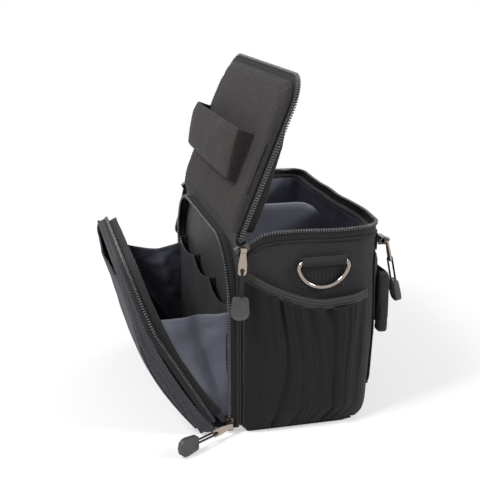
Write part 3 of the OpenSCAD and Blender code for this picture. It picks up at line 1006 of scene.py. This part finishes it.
@dataclass
class SidePocket:
    """Stretch mesh pocket on one side, gathered into an elastic binding."""

    side: int
    name: str
    proud: float = 6.0

    def top_at(self, y: float) -> float:
        """Height of the sagging top of the mesh at a Y coordinate."""
        low = 113.4
        if y < 8:
            s = (8 - y) / 69
            return low + 29 * s**1.55
        s = (y - 8) / 48
        return low + 5.2 * s**1.4

    def back_edge(self, z: float) -> float:
        """Y coordinate of the pocket's back edge at a height."""
        if z < 22:
            s = (z - 4) / 18
            return 28 + 16 * math.sin(s * math.pi / 2)
        return 44 + (z - 22) * 12 / 208

    def swell(self, t: float) -> float:
        """Share of the pocket's depth across it, from its front edge to its back edge."""
        return rise(min(t, 1 - t) / 0.17)

    def build(self, fin: Finishes) -> None:
        """Builds the mesh and its binding."""
        bm = bmesh.new()
        bmesh.ops.create_grid(bm, x_segments=120, y_segments=90, size=0.5)
        uv = bm.loops.layers.uv.new("weave")
        for face in bm.faces:
            for loop in face.loops:
                loop[uv].uv = (loop.vert.co.x * 0.15, loop.vert.co.y * 0.125)
        for vert in bm.verts:
            u, v = vert.co.x + 0.5, vert.co.y + 0.5
            vert.co = self.place(u, v)
        mesh = new_piece(f"mesh_pocket_{self.name}_knit", bm, fin.mesh)
        thick = mesh.modifiers.new("thickness", "SOLIDIFY")
        thick.thickness = 0.7 * MM
        thick.offset = 0
        stand_for(mesh, f"mesh_pocket_{self.name}")
        line = []
        for i in range(41):
            t = i / 40
            y = -60.6 + t * 112.5
            x = SIZE.half + 0.9 + (self.proud + 0.2) * self.swell(t)
            line.append(slumped(point(self.side * x, y, self.top_at(y) + 4.3)))
        path = stations(line, lambda p, d: Vector((0, 0, 1)), 2)
        band = sweep(f"pocket_binding_{self.name}_elastic", path, rounded_bar(1.9, 9.2, (0, 0), 0.6), fin.binding)
        stand_for(band, f"pocket_binding_{self.name}")
        LOG.info("mesh pocket %s: %d faces", self.name, len(mesh.data.polygons))

    def place(self, u: float, v: float) -> Vector:
        """Point of the mesh from shares across and up the pocket."""
        z0 = 4.5 + v * 108
        back = self.back_edge(z0)
        y = -60.3 + u * (back + 60.3)
        z = 4.5 + v * (self.top_at(y) - 4.0)
        deep = self.swell(u) * (0.25 + 0.75 * rise(v / 0.16))
        gather = 0.55 + 0.15 * (1 - rise(v / 0.2)) + 0.55 * rise((v - 0.45) / 0.55)
        lean = 0.03 * math.sin(3.4 * v + 7 * u) + 0.13 * noise.noise(Vector((u * 3.4, v * 1.3, self.side)))
        fan = (u + lean) * 7.0
        fade = 0.6 + 0.7 * noise.noise(Vector((u * 4.5, v * 2.5, 9)))
        pleat = self.pleat(fan) * fade + 0.4 * self.pleat(fan * 2.3 + 0.35) * (1.1 - fade)
        slack = noise.noise(Vector((u * 3.1, v * 2.4, 4.0 + self.side)))
        x = SIZE.half + 2.0 + self.proud * deep + hump(u, 0.35) * (3.6 * gather * pleat + 2.2 * slack)
        return slumped(point(self.side * max(x, SIZE.half + 0.4), y, z))

    def pleat(self, turn: float) -> float:
        """Profile across the gathers: broad ridges with narrow valleys of uneven depth."""
        valley = (0.5 + 0.5 * math.cos(2 * math.pi * turn)) ** 3
        depth = 0.7 + 0.6 * noise.noise(Vector((round(turn) * 1.37, self.side, 0)))
        return 0.45 - 1.5 * valley * depth


@dataclass
class StrapRings:
    """Rings on the two sides and the webbing tabs that hold them."""

    def build(self, fin: Finishes) -> None:
        """Builds the tabs and dresses the rings."""
        for side, name in ((1, "right"), (-1, "left")):
            tab = soft_copy(f"ring_tab_{name}", fin.webbing, Softness(0.7, 2, 0.05, 8))
            self.ring(side, name, fin)
            out = Vector((side, 0, 0))
            x = side * (SIZE.half + 3)
            box = [(-10, 133.5), (25.5, 133.5), (25.5, 148), (-10, 148), (-10, 133.5)]
            line = [point(x, y, z) for y, z in box]
            add_trim(sewn_line(f"tab_seam_{name}", tab, line, out, fin.thread, 3), "ring_tab_right")
        LOG.info("strap rings dressed")

    def ring(self, side: int, name: str, fin: Finishes) -> None:
        """Bends one wire ring with rounded corners, from the middle of its bar and back to it."""
        centre = point(side * 129.5, 7.7, 156.5)
        y, z = Vector((0, 1, 0)), Vector((0, 0, 1))
        wire = 23.5 * MM
        line = [centre, centre + y * 6 * MM, centre + y * 12 * MM]
        line += arc_points(centre + (y * 17.2 - z * 5.5) * MM, y, z, 5.5 * MM, 90, 8, 6)
        line += arc_points(centre, y, z, wire, -14, -166, 36)
        line += arc_points(centre + (y * -17.2 - z * 5.5) * MM, y, z, 5.5 * MM, 172, 90, 6)
        line += [centre - y * 12 * MM, centre - y * 6 * MM, centre]
        path = stations(line, lambda p, d: Vector((side, 0, 0)), 1.2)
        stand_for(sweep(f"d_ring_{name}_wire", path, round_rod(1.9, 14), fin.ring), f"d_ring_{name}")


@dataclass
class BackSide:
    """Zipped pocket and luggage band on the back."""

    half: float = 117.0
    zip_z: float = 142.0

    def build(self, fin: Finishes) -> None:
        """Builds the pad, its zip and the band."""
        place = SIZE.back_place()
        out = place.to_3x3() @ Vector((0, 1, 0))
        inverse = place.inverted()

        def pad(p: Vector, n: Vector) -> Vector:
            q = inverse @ p
            edge = min(self.half - abs(q.x / MM), q.z / MM - 6, 134 - q.z / MM)
            thin = 0.75 * (1 - rise(edge / 24))
            return out * (0.8 * MM * rise(edge / 40) - thin * max(q.y, 0))

        pocket = soft_copy("back_pocket", fin.side, Softness(2.6, 3, 0.5, 32, 4.0, 1.2), pad, place)
        loop = [(-112, 12), (112, 12), (112, 128), (-112, 128), (-112, 12)]
        line = [place @ point(x, 6, z) for x, z in loop]
        add_trim(sewn_line("back_pocket_seam", pocket, line, out, fin.thread), "back_pocket")
        band = soft_copy(
            "luggage_band",
            fin.side,
            Softness(1.5, 4, 0.4, 24),
            lambda p, n: out * (0.8 * MM * hump(((inverse @ p).z / MM - 57) / 55, 0.5)),
            place,
        )
        for k, z in enumerate((60.5, 64, 105, 108.5)):
            line = [place @ point(x, 15, z) for x in range(-115, 116, 10)]
            add_trim(sewn_line(f"band_seam_{k}", band, line, out, fin.thread), "luggage_band")
        for side, name in ((1, "right"), (-1, "left")):
            line = [place @ point(side * 109, 15, z) for z in range(60, 111, 5)]
            add_trim(sewn_line(f"band_end_seam_{name}", band, line, out, fin.thread), "luggage_band")
        span = [slumped(place @ point(x, 3.4, self.zip_z)) for x in range(-116, 117, 4)]
        teeth = stations(span, lambda p, d: out, 2.3)
        stand_for(repeat("back_teeth", teeth, self.coil, fin.teeth), "back_zip_teeth")
        span = [slumped(place @ point(x, 0.7, self.zip_z)) for x in range(-118, 119, 4)]
        tape = sweep("back_tape", stations(span, lambda p, d: out, 3), rounded_bar(13.0, 1.4, (0, 0), 0.4), fin.tape)
        stand_for(tape, "back_zip_tape")
        LOG.info("back: %d coil turns", len(teeth))

    def coil(self, bm: bmesh.types.BMesh) -> None:
        """One turn of the closed coil on the back."""
        cut_box(bm, (4.2, 1.6, 2.6), 0.5)


@dataclass
class Compartment:
    """Padded lining of the main compartment and its loose divider."""

    def build(self, fin: Finishes) -> None:
        """Builds the lining, its bound edge and the divider."""

        def folds(p: Vector, n: Vector) -> Vector:
            slack = waver(Vector((p.x * 1.3, p.y * 1.3, p.z * 0.4)), 34, 3)
            back = (SIZE.back_at(p.z / MM) - 6) * MM
            inside = abs(p.x) < 0.119 and p.z > 0.012 and -0.06 < p.y < back
            fade = rise((0.177 - p.z) / 0.012) * rise((p.z - 0.012) / 0.02)
            deep = 3.0 + 6.5 * slack if abs(n.x) > 0.7 else -2.0 - 2.0 * slack
            return n * (MM * deep * fade if inside else 0)

        # The lining and the divider take the lining cloth painted lighter, as painted light against the shade inside
        # the compartment.
        inner = soft_copy("main_lining", fin.padded_lining, Softness(2.6, 3, 0.3, 18), folds)
        inner.data.materials.append(fin.tape)
        for face in inner.data.polygons:
            if face.center.z > 164 * MM and face.center.y < -54 * MM:
                face.material_index = 1
        zip_ = RimZip()
        up = lambda p, d: Vector((0, 0, 1))
        edge = stations(zip_.line(7.0, 6.0), up, 3)
        obj = sweep("lining_binding", edge, rounded_bar(6.6, 3.2, (0, 0), 1.2), fin.tape)
        add_trim(obj, "main_zip_tape")

        def crown(p: Vector, n: Vector) -> Vector:
            share = hump((p.y / MM + 58) / 116, 0.4) * hump((p.z / MM - 6) / 172, 0.4)
            return Vector((n.x, 0, 0)) * 1.8 * MM * share

        wall = soft_copy("divider", fin.padded_lining, Softness(3.0, 3, 0.5, 30, 4.0, 1.5), crown)
        LOG.info("compartment built")


@dataclass
class Organiser:
    """Slip pockets on the body's front and the gussets beside the front panel."""

    def build(self, fin: Finishes) -> None:
        """Builds the pockets and the gussets."""

        def slack(p: Vector, n: Vector) -> Vector:
            high = rise((p.z / MM - 60) / 58)
            sag = 5.0 * hump(((p.x / MM + 112) % 75) / 75)
            forward = 1.4 * hump(((p.x / MM + 112) % 75) / 75) if p.y < -0.0715 else 0
            return Vector((0, -forward * high, -sag * high)) * MM

        obj = soft_copy("slip_pockets", fin.slip, Softness(1.3, 2, 0.3, 20), slack)
        LOG.info("slip pockets: %d faces", len(obj.data.polygons))
        for side, name in ((1, "right"), (-1, "left")):
            self.gusset(side, name, fin)

    def gusset(self, side: int, name: str, fin: Finishes) -> None:
        """Builds one folded cloth gusset."""
        bm = bmesh.new()
        bmesh.ops.create_grid(bm, x_segments=28, y_segments=50, size=0.5)
        uv = bm.loops.layers.uv.new("weave")
        place = SIZE.flap_place()
        panel_shape = FrontPanel()
        for vert in bm.verts:
            u, v = vert.co.x + 0.5, vert.co.y + 0.5
            body = point(115, SIZE.front - 0.6, 3.5 + 108.5 * v)
            rest = point(115, 3.5, 4 + 120 * v)
            panel = place @ (rest + panel_shape.bend(rest))
            p = body.lerp(panel, u)
            crease = 1 - abs(2 * u - 0.9) ** 1.1 if u < 0.95 else 0.0
            sink = 13.0 * crease * rise(v * 1.4) * min((1 - u) / 0.15, 1.0)
            sink += (3.0 * waver(p, 24, side) + 1.3 * waver(p, 10, side)) * hump(u, 0.5)
            dip = 5.0 * hump(u) * rise((v - 0.7) / 0.3)
            vert.co = Vector((side * (p.x - max(sink, 0) * MM), p.y, p.z - dip * MM))
        for face in bm.faces:
            for loop in face.loops:
                loop[uv].uv = (loop.vert.co.y, loop.vert.co.z)
        obj = new_piece(f"gusset_{name}_cloth", bm, fin.lining)
        thick = obj.modifiers.new("thickness", "SOLIDIFY")
        thick.thickness = 0.9 * MM
        thick.offset = 0
        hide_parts(f"gusset_{name}")
        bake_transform(obj)


@dataclass
class Lid:
    """Hinged lid: padded panel, lining, zip edge and outer pocket."""

    pitch: float = 2.3

    def line(self, grow: float, start: float, t: float) -> list[Vector]:
        """Line round the three free sides of the lid."""
        place = SIZE.lid_place() @ Matrix.Rotation(math.radians(90), 4, "X") @ Matrix.Diagonal((1, 1, -1, 1))
        flat = arch_points(
            Matrix.Identity(4), 121.5 + grow, SIZE.lid_l + grow, SIZE.lid_r + grow, start, 0
        )
        lid = SIZE.lid_place()
        return [lid @ Vector((p.x, p.z, t * MM)) for p in flat]

    def build(self, fin: Finishes) -> None:
        """Builds the whole lid."""
        lid = SIZE.lid_place()
        inverse = lid.inverted()
        out = lid.to_3x3() @ Vector((0, 0, 1))

        def crown(p: Vector, n: Vector) -> Vector:
            q = inverse @ p / MM
            share = hump((q.x + 114) / 228, 0.45) * hump((q.y - 4) / 136, 0.45)
            edge = (1 - rise((1 - abs(q.x) / 114) / 0.08)) + rise((q.y - 128) / 10)
            return out * (2.2 * share - 1.0 * min(edge, 1)) * MM

        panel = soft_copy("lid_panel", fin.front, Softness(2.2, 3, 0.7, 34, 4.0, 2.0, tuple(out)), crown, lid)
        inner = soft_copy("lid_lining", fin.lining, Softness(1.9, 5, 0.7, 24), None, lid)
        inner.data.materials.append(fin.tape)
        for face in inner.data.polygons:
            if abs(face.center.x) > 0.1035:
                face.material_index = 1
        for k, grow in enumerate((-11.5, -14.0)):
            seam = sewn_line(f"lid_seam_{k}", panel, self.line(grow, 8, 8), out, fin.thread)
            add_trim(seam, "lid_panel")
        self.edge(fin, lid, out)
        self.pouch(fin, lid, out, inverse)
        self.fold(fin)
        LOG.info("lid: %d faces on the panel", len(panel.data.polygons))

    def edge(self, fin: Finishes, lid: Matrix, out: Vector) -> None:
        """Builds the zip round the lid."""
        centre = lid @ point(0, 70, 0)

        def free(p: Vector, d: Vector) -> Vector:
            side = d.cross(out)
            return side if side.dot(p - centre) > 0 else -side

        teeth = stations(self.line(0, 5, 1.3), free, self.pitch)
        stand_for(repeat("lid_teeth", teeth, tooth, fin.teeth), "lid_zip_teeth")
        tape = sweep("lid_tape", stations(self.line(-4.8, 4, 1.3), free, 3), rounded_bar(1.3, 8.4), fin.tape)
        stand_for(tape, "lid_zip_tape")
        rope = sweep("lid_piping", stations(self.line(-8.2, 4, 3.0), free, 3), round_rod(1.8, 10), fin.tape)
        add_trim(rope, "lid_zip_tape")

    def pouch(self, fin: Finishes, lid: Matrix, out: Vector, inverse: Matrix) -> None:
        """Builds the open pocket on the lid, with its hem."""

        def belly(p: Vector, n: Vector) -> Vector:
            q = inverse @ p / MM
            share = hump((q.x + 105) / 185, 0.5) * rise((q.z - 10) / 12)
            wave = 1.8 * waver(Vector((p.x, 0, 0)), 55, 2) + 1.2 * waver(p, 24, 6)
            belly = 3.6 * hump((q.y - 34) / 58, 0.7)
            scallop = Vector((4.5 * MM * math.cos((q.y - 40) / 8.5) * rise((-94 - q.x) / 6) * rise((q.z - 9) / 5), 0, 0))
            return (out * ((2.0 + belly) * share + wave * rise((q.z - 10) / 12))) * MM + scallop

        pouch = soft_copy("lid_pocket", fin.front, Softness(1.15, 2, 0.5, 26), belly, lid)
        add_trim(
            sewn_line(
                "lid_pocket_hem", pouch, [lid @ point(x, 82.5, 30) for x in range(-102, 78, 9)], out, fin.thread
            ),
            "lid_pocket",
        )
        for k, s in enumerate((46, 80)):
            line = [lid @ point(x, s, 12) for x in (84, 90, 98, 106, 111)]
            add_trim(sewn_line(f"lid_band_seam_{k}", pouch, line, out, fin.thread), "lid_pocket")

    def fold(self, fin: Finishes) -> None:
        """Builds the cloth that joins the lid to the front of the body."""
        line = [point(0, -65.4, 168), point(0, -65.8, 172), point(0, -66.4, 177), point(0, -65.6, 182)]
        bm = bmesh.new()
        bmesh.ops.create_grid(bm, x_segments=60, y_segments=12, size=0.5)
        uv = bm.loops.layers.uv.new("weave")
        for vert in bm.verts:
            u, v = vert.co.x, (vert.co.y + 0.5) * 3
            k = min(int(v), 2)
            p = line[k].lerp(line[k + 1], v - k)
            vert.co = Vector((u * 0.236, p.y + 0.5 * MM * noise.noise(Vector((u * 14, v, 0))), p.z))
        for face in bm.faces:
            for loop in face.loops:
                loop[uv].uv = (loop.vert.co.x, loop.vert.co.z)
        obj = new_piece("lid_fold_cloth", bm, fin.front)
        thick = obj.modifiers.new("thickness", "SOLIDIFY")
        thick.thickness = 1.4 * MM
        thick.offset = 0
        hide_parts("lid_fold")
        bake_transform(obj)


@dataclass
class FrontPanel:
    """Drop-down front panel: heather tray, its lining, guard band, zip and outer pocket."""

    pitch: float = 2.3
    bow: float = 8.5

    def line(self, grow: float, foot: float, depth: float) -> list[Vector]:
        """Arch line on the panel, bowed as the cloth is."""
        top = SIZE.arch_top - SIZE.flap_z + grow
        flat = arch_points(Matrix.Identity(4), SIZE.arch_half + grow, top, SIZE.arch_r + grow, foot, depth)
        place = SIZE.flap_place()
        return [place @ (p + self.bend(p)) for p in flat]

    def bend(self, q: Vector) -> Vector:
        """Outward bow, full belly and thin top of the panel at a point in its own frame."""
        belly = 0.7 * hump(q.z / MM / 130) * hump((q.x / MM + 124) / 248, 0.3) - 0.56 * rise((q.z / MM - 85) / 80)
        deep = min(max(-4.5 - q.y / MM, 0), 10.5)
        return Vector((0, -belly * deep * MM - self.bow * MM * hump(q.z / MM / 172), 0))

    def build(self, fin: Finishes) -> None:
        """Builds the whole panel."""
        place = SIZE.flap_place()
        inverse = place.inverted()
        turn = place.to_3x3()

        def bowed(p: Vector, n: Vector) -> Vector:
            q = inverse @ p
            step = self.bend(q)
            if q.y < -12.5 * MM:
                share = hump((q.x / MM + 122) / 244, 0.5) * hump((q.z / MM - 8) / 162, 0.6)
                step.y -= 2.0 * MM * share
            return turn @ step

        shell = soft_copy("flap_shell", fin.heather, Softness(1.7, 3, 0.5, 30), bowed, place)
        pad = soft_copy("flap_lining", fin.lining, Softness(1.7, 3, 0.6, 26), bowed, place)
        pad.data.materials.append(fin.tape)
        for face in pad.data.polygons:
            if (inverse @ face.center).z < 11 * MM:
                face.material_index = 1
        soft_copy("flap_guard", fin.tape, Softness(1.0, 2, 0.3, 26), bowed, place)
        outer = self.slip(fin, place)
        out = turn @ Vector((0, -1, 0))
        line = [place @ (point(x, -14, 157) + self.bend(point(x, -14, 157))) for x in range(-84, 85, 8)]
        add_trim(sewn_line("outer_pocket_hem", outer, line, out, fin.thread), "flap_pocket")
        free = lambda p, d: turn @ Vector((0, 1, 0))
        teeth = stations(self.line(0, 14, -0.3), free, self.pitch)
        stand_for(repeat("panel_teeth", teeth, tooth, fin.teeth), "flap_zip_teeth")
        tape = sweep("panel_tape", stations(self.line(0, 14, -3.4), free, 3), rounded_bar(1.5, 4.4), fin.tape)
        stand_for(tape, "flap_zip_tape")
        rope = sweep("panel_piping", stations(self.line(0.9, 10, -14.6), free, 3), round_rod(1.5, 8), fin.heather)
        add_trim(rope, "flap_shell")
        self.hinge(fin)
        LOG.info("front panel: %d and %d faces", len(shell.data.polygons), len(pad.data.polygons))

    def slip(self, fin: Finishes, place: Matrix) -> bpy.types.Object:
        """Builds the outer layer that makes a slip pocket with a slack mouth."""
        bm = bmesh.new()
        bmesh.ops.create_grid(bm, x_segments=110, y_segments=70, size=0.5)
        uv = bm.loops.layers.uv.new("weave")
        for vert in bm.verts:
            z = 15 + (vert.co.y + 0.5) * 149
            over = max(z - (SIZE.arch_top - SIZE.flap_z - SIZE.arch_r), 0)
            half = SIZE.arch_half - SIZE.arch_r - 1.2 + math.sqrt(max(SIZE.arch_r**2 - over**2, 1))
            x = 2 * vert.co.x * half
            loose = rise((z - 70) / 90) * hump(vert.co.x + 0.5, 0.55)
            wave = 1.3 * noise.noise(Vector((x * 0.025, z * 0.01, 3)))
            q = point(x, -15, z)
            q += self.bend(q) + point(0, -0.9 - loose * (5.5 + 2 * wave), 0)
            vert.co = place @ (q - point(0, 0, 4 * loose * abs(vert.co.x)))
        for face in bm.faces:
            for loop in face.loops:
                q = place.inverted() @ loop.vert.co
                loop[uv].uv = (q.x, q.z)
        obj = new_piece("flap_pocket_cloth", bm, fin.heather)
        thick = obj.modifiers.new("thickness", "SOLIDIFY")
        thick.thickness = 1.5 * MM
        thick.offset = 0
        return stand_for(obj, "flap_pocket")

    def hinge(self, fin: Finishes) -> None:
        """Builds the cloth strip that joins the panel's foot to the body's foot."""
        line = [point(0, -65.6, 7), point(0, -70, 2.6), point(0, -77, 1.4), point(0, -85, 1.9), point(0, -91, 6.2), point(0, -95, 11)]
        bm = bmesh.new()
        bmesh.ops.create_grid(bm, x_segments=60, y_segments=20, size=0.5)
        uv = bm.loops.layers.uv.new("weave")
        last = len(line) - 1
        for vert in bm.verts:
            u, v = vert.co.x, (vert.co.y + 0.5) * last
            k = min(int(v), last - 1)
            p = line[k].lerp(line[k + 1], v - k)
            vert.co = Vector((u * 0.228, p.y, p.z + 0.35 * MM * (1 + noise.noise(Vector((u * 16, v, 5))))))
        for face in bm.faces:
            for loop in face.loops:
                loop[uv].uv = (loop.vert.co.x, loop.vert.co.y)
        obj = new_piece("flap_hinge_cloth", bm, fin.heather)
        thick = obj.modifiers.new("thickness", "SOLIDIFY")
        thick.thickness = 1.0 * MM
        thick.offset = 0
        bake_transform(obj)


@dataclass
class ZipPulls:
    """Sliders with their metal pulls, cords and rubber grips."""

    def build(self, fin: Finishes) -> None:
        """Dresses the five sliders."""
        looks = {"slider": fin.slider, "pull": fin.pull, "cord": fin.cord, "grip": fin.rubber}
        for name, obj in frame["nodes"].items():
            for word, finish in looks.items():
                if f"_{word}" in name and not name.startswith(("back_panel", "back_pocket")):
                    obj.data.materials.clear()
                    obj.data.materials.append(finish)
        for place in ("main_{}_right", "main_{}_left", "front_{}_right", "front_{}_left", "back_{}"):
            for word, width in (("slider", 0.45), ("pull", 0.35)):
                self.bevelled(place.format(word), width, looks[word])
            self.grip(place.format("grip"), fin)
        LOG.info("zip pulls dressed")

    def bevelled(self, node: str, width: float, finish: bpy.types.Material) -> None:
        """Stands a cast shape with rounded edges in for a CAD node."""
        bm = node_mesh(node)
        bmesh.ops.dissolve_limit(bm, angle_limit=math.radians(2), verts=bm.verts, edges=bm.edges)
        obj = new_piece(node + "_cast", bm, finish, flat=True)
        cut = obj.modifiers.new("edge", "BEVEL")
        cut.width = width * MM
        cut.segments = 2
        cut.limit_method = "ANGLE"
        cut.angle_limit = math.radians(40)
        cut.harden_normals = False
        stand_for(obj, node)

    def grip(self, node: str, fin: Finishes) -> None:
        """Stands a moulded grip with a sunk face in for a CAD node."""
        bm = node_mesh(node)
        bmesh.ops.dissolve_limit(bm, angle_limit=math.radians(2), verts=bm.verts, edges=bm.edges)
        faces = sorted(bm.faces, key=lambda f: -f.calc_area())[:2]
        bmesh.ops.inset_region(bm, faces=faces, thickness=1.5 * MM, depth=0.0)
        bmesh.ops.inset_region(bm, faces=faces, thickness=0.35 * MM, depth=-0.6 * MM)
        obj = new_piece(node + "_moulded", bm, fin.rubber)
        cut = obj.modifiers.new("edge", "BEVEL")
        cut.width = 0.5 * MM
        cut.segments = 3
        cut.limit_method = "ANGLE"
        cut.angle_limit = math.radians(35)
        stand_for(obj, node)


@dataclass
class Studio:
    """Floor, light and camera."""

    eye: tuple[float, float, float] = (824.5, -238.4, 392.6)
    look: tuple[float, float, float] = (0.0, -34.4, 141.0)
    lens: float = 67.5

    def build(self) -> None:
        """Builds the stage."""
        self.floor()
        self.lamps()
        self.camera()
        bpy.context.scene.view_settings.view_transform = "Standard"
        LOG.info("studio built")

    def floor(self) -> None:
        """Lays a pale floor that melts into a white surround."""
        bm = bmesh.new()
        bmesh.ops.create_grid(bm, x_segments=1, y_segments=1, size=6.0)
        material, shader = blank_material("studio_floor", {"Roughness": 0.9, "Base Color": linear("F2F2F2")})
        tree = material.node_tree
        out = next(n for n in tree.nodes if n.type == "OUTPUT_MATERIAL")
        glow = add_node(tree, "Emission", {}, {"Color": (1, 1, 1, 1), "Strength": 1.0})
        seen = self.seen(tree)
        place = add_node(tree, "TexCoord").outputs["Object"]
        away = add_node(tree, "VectorMath", {"operation": "LENGTH"}, {0: place})
        far = add_node(
            tree, "MapRange", {"interpolation_type": "SMOOTHSTEP"}, {0: away.outputs["Value"], 1: 0.22, 2: 0.75, 3: 0.5, 4: 1.0}
        )
        share = add_node(tree, "Math", {"operation": "MULTIPLY"}, {0: seen.outputs[0], 1: far.outputs[0]})
        mix = add_node(tree, "MixShader", {}, {0: share.outputs[0], 1: shader.outputs[0], 2: glow.outputs[0]})
        tree.links.new(mix.outputs[0], out.inputs["Surface"])
        obj = new_piece("floor", bm, material, flat=True)

    def seen(self, tree: bpy.types.NodeTree) -> bpy.types.Node:
        """Adds a node that is 1 on rays that look, reflect or pass through, and 0 on rays that only light."""
        rays = add_node(tree, "LightPath")
        pair = add_node(
            tree,
            "Math",
            {"operation": "MAXIMUM"},
            {0: rays.outputs["Is Glossy Ray"], 1: rays.outputs["Is Transmission Ray"]},
        )
        return add_node(tree, "Math", {"operation": "MAXIMUM"}, {0: rays.outputs["Is Camera Ray"], 1: pair.outputs[0]})

    def lamps(self) -> None:
        """Hangs two soft boxes and a pale dome."""
        world = bpy.data.worlds.new("dome")
        bpy.context.scene.world = world
        world.use_nodes = True
        tree = world.node_tree
        tree.nodes.clear()
        seen = self.seen(tree)
        strength = add_node(tree, "MapRange", {}, {0: seen.outputs[0], 3: 0.4, 4: 1.0})
        back = add_node(tree, "Background", {}, {"Color": (1, 1, 1, 1), "Strength": strength.outputs[0]})
        add_node(tree, "OutputWorld", {}, {"Surface": back.outputs[0]})
        for name, at, size, watts in (
            ("key", (0.5, -1.3, 1.7), 0.6, 40.0),
            ("side", (1.0, 1.6, 1.2), 0.5, 24.0),
            ("fill", (-1.4, 0.6, 1.5), 1.2, 10.0),
        ):
            data = bpy.data.lights.new(name, "AREA")
            data.size = size
            data.energy = watts
            lamp = bpy.data.objects.new(name, data)
            bpy.context.scene.collection.objects.link(lamp)
            lamp.location = at
            lamp.rotation_euler = (Vector((0, 0, 0.14)) - Vector(at)).to_track_quat("-Z", "Y").to_euler()

    def camera(self) -> None:
        """Sets the camera."""
        data = bpy.data.cameras.new("camera")
        data.lens = self.lens
        data.sensor_width = 36.0
        camera = bpy.data.objects.new("camera", data)
        bpy.context.scene.collection.objects.link(camera)
        eye, look = Vector(self.eye) * MM, Vector(self.look) * MM
        camera.location = eye
        camera.rotation_euler = (look - eye).to_track_quat("-Z", "Y").to_euler()
        bpy.context.scene.camera = camera


def write_sizes() -> None:
    bpy.context.view_layer.update()


def main() -> None:
    """Builds the bag's sub-assemblies in order and reports each."""
    logging.basicConfig(level=logging.INFO, format="%(name)s: %(message)s")
    Studio().build()
    fin = Finishes()
    parts = [
        OuterShell(),
        RimZip(),
        ArchZip(),
        SidePocket(1, "right"),
        SidePocket(-1, "left"),
        StrapRings(),
        BackSide(),
        Compartment(),
        Organiser(),
        Lid(),
        FrontPanel(),
        ZipPulls(),
    ]
    for part in parts:
        part.build(fin)
        LOG.info("%s done", type(part).__name__)
    write_sizes()


if __name__ == "__main__":
    main()
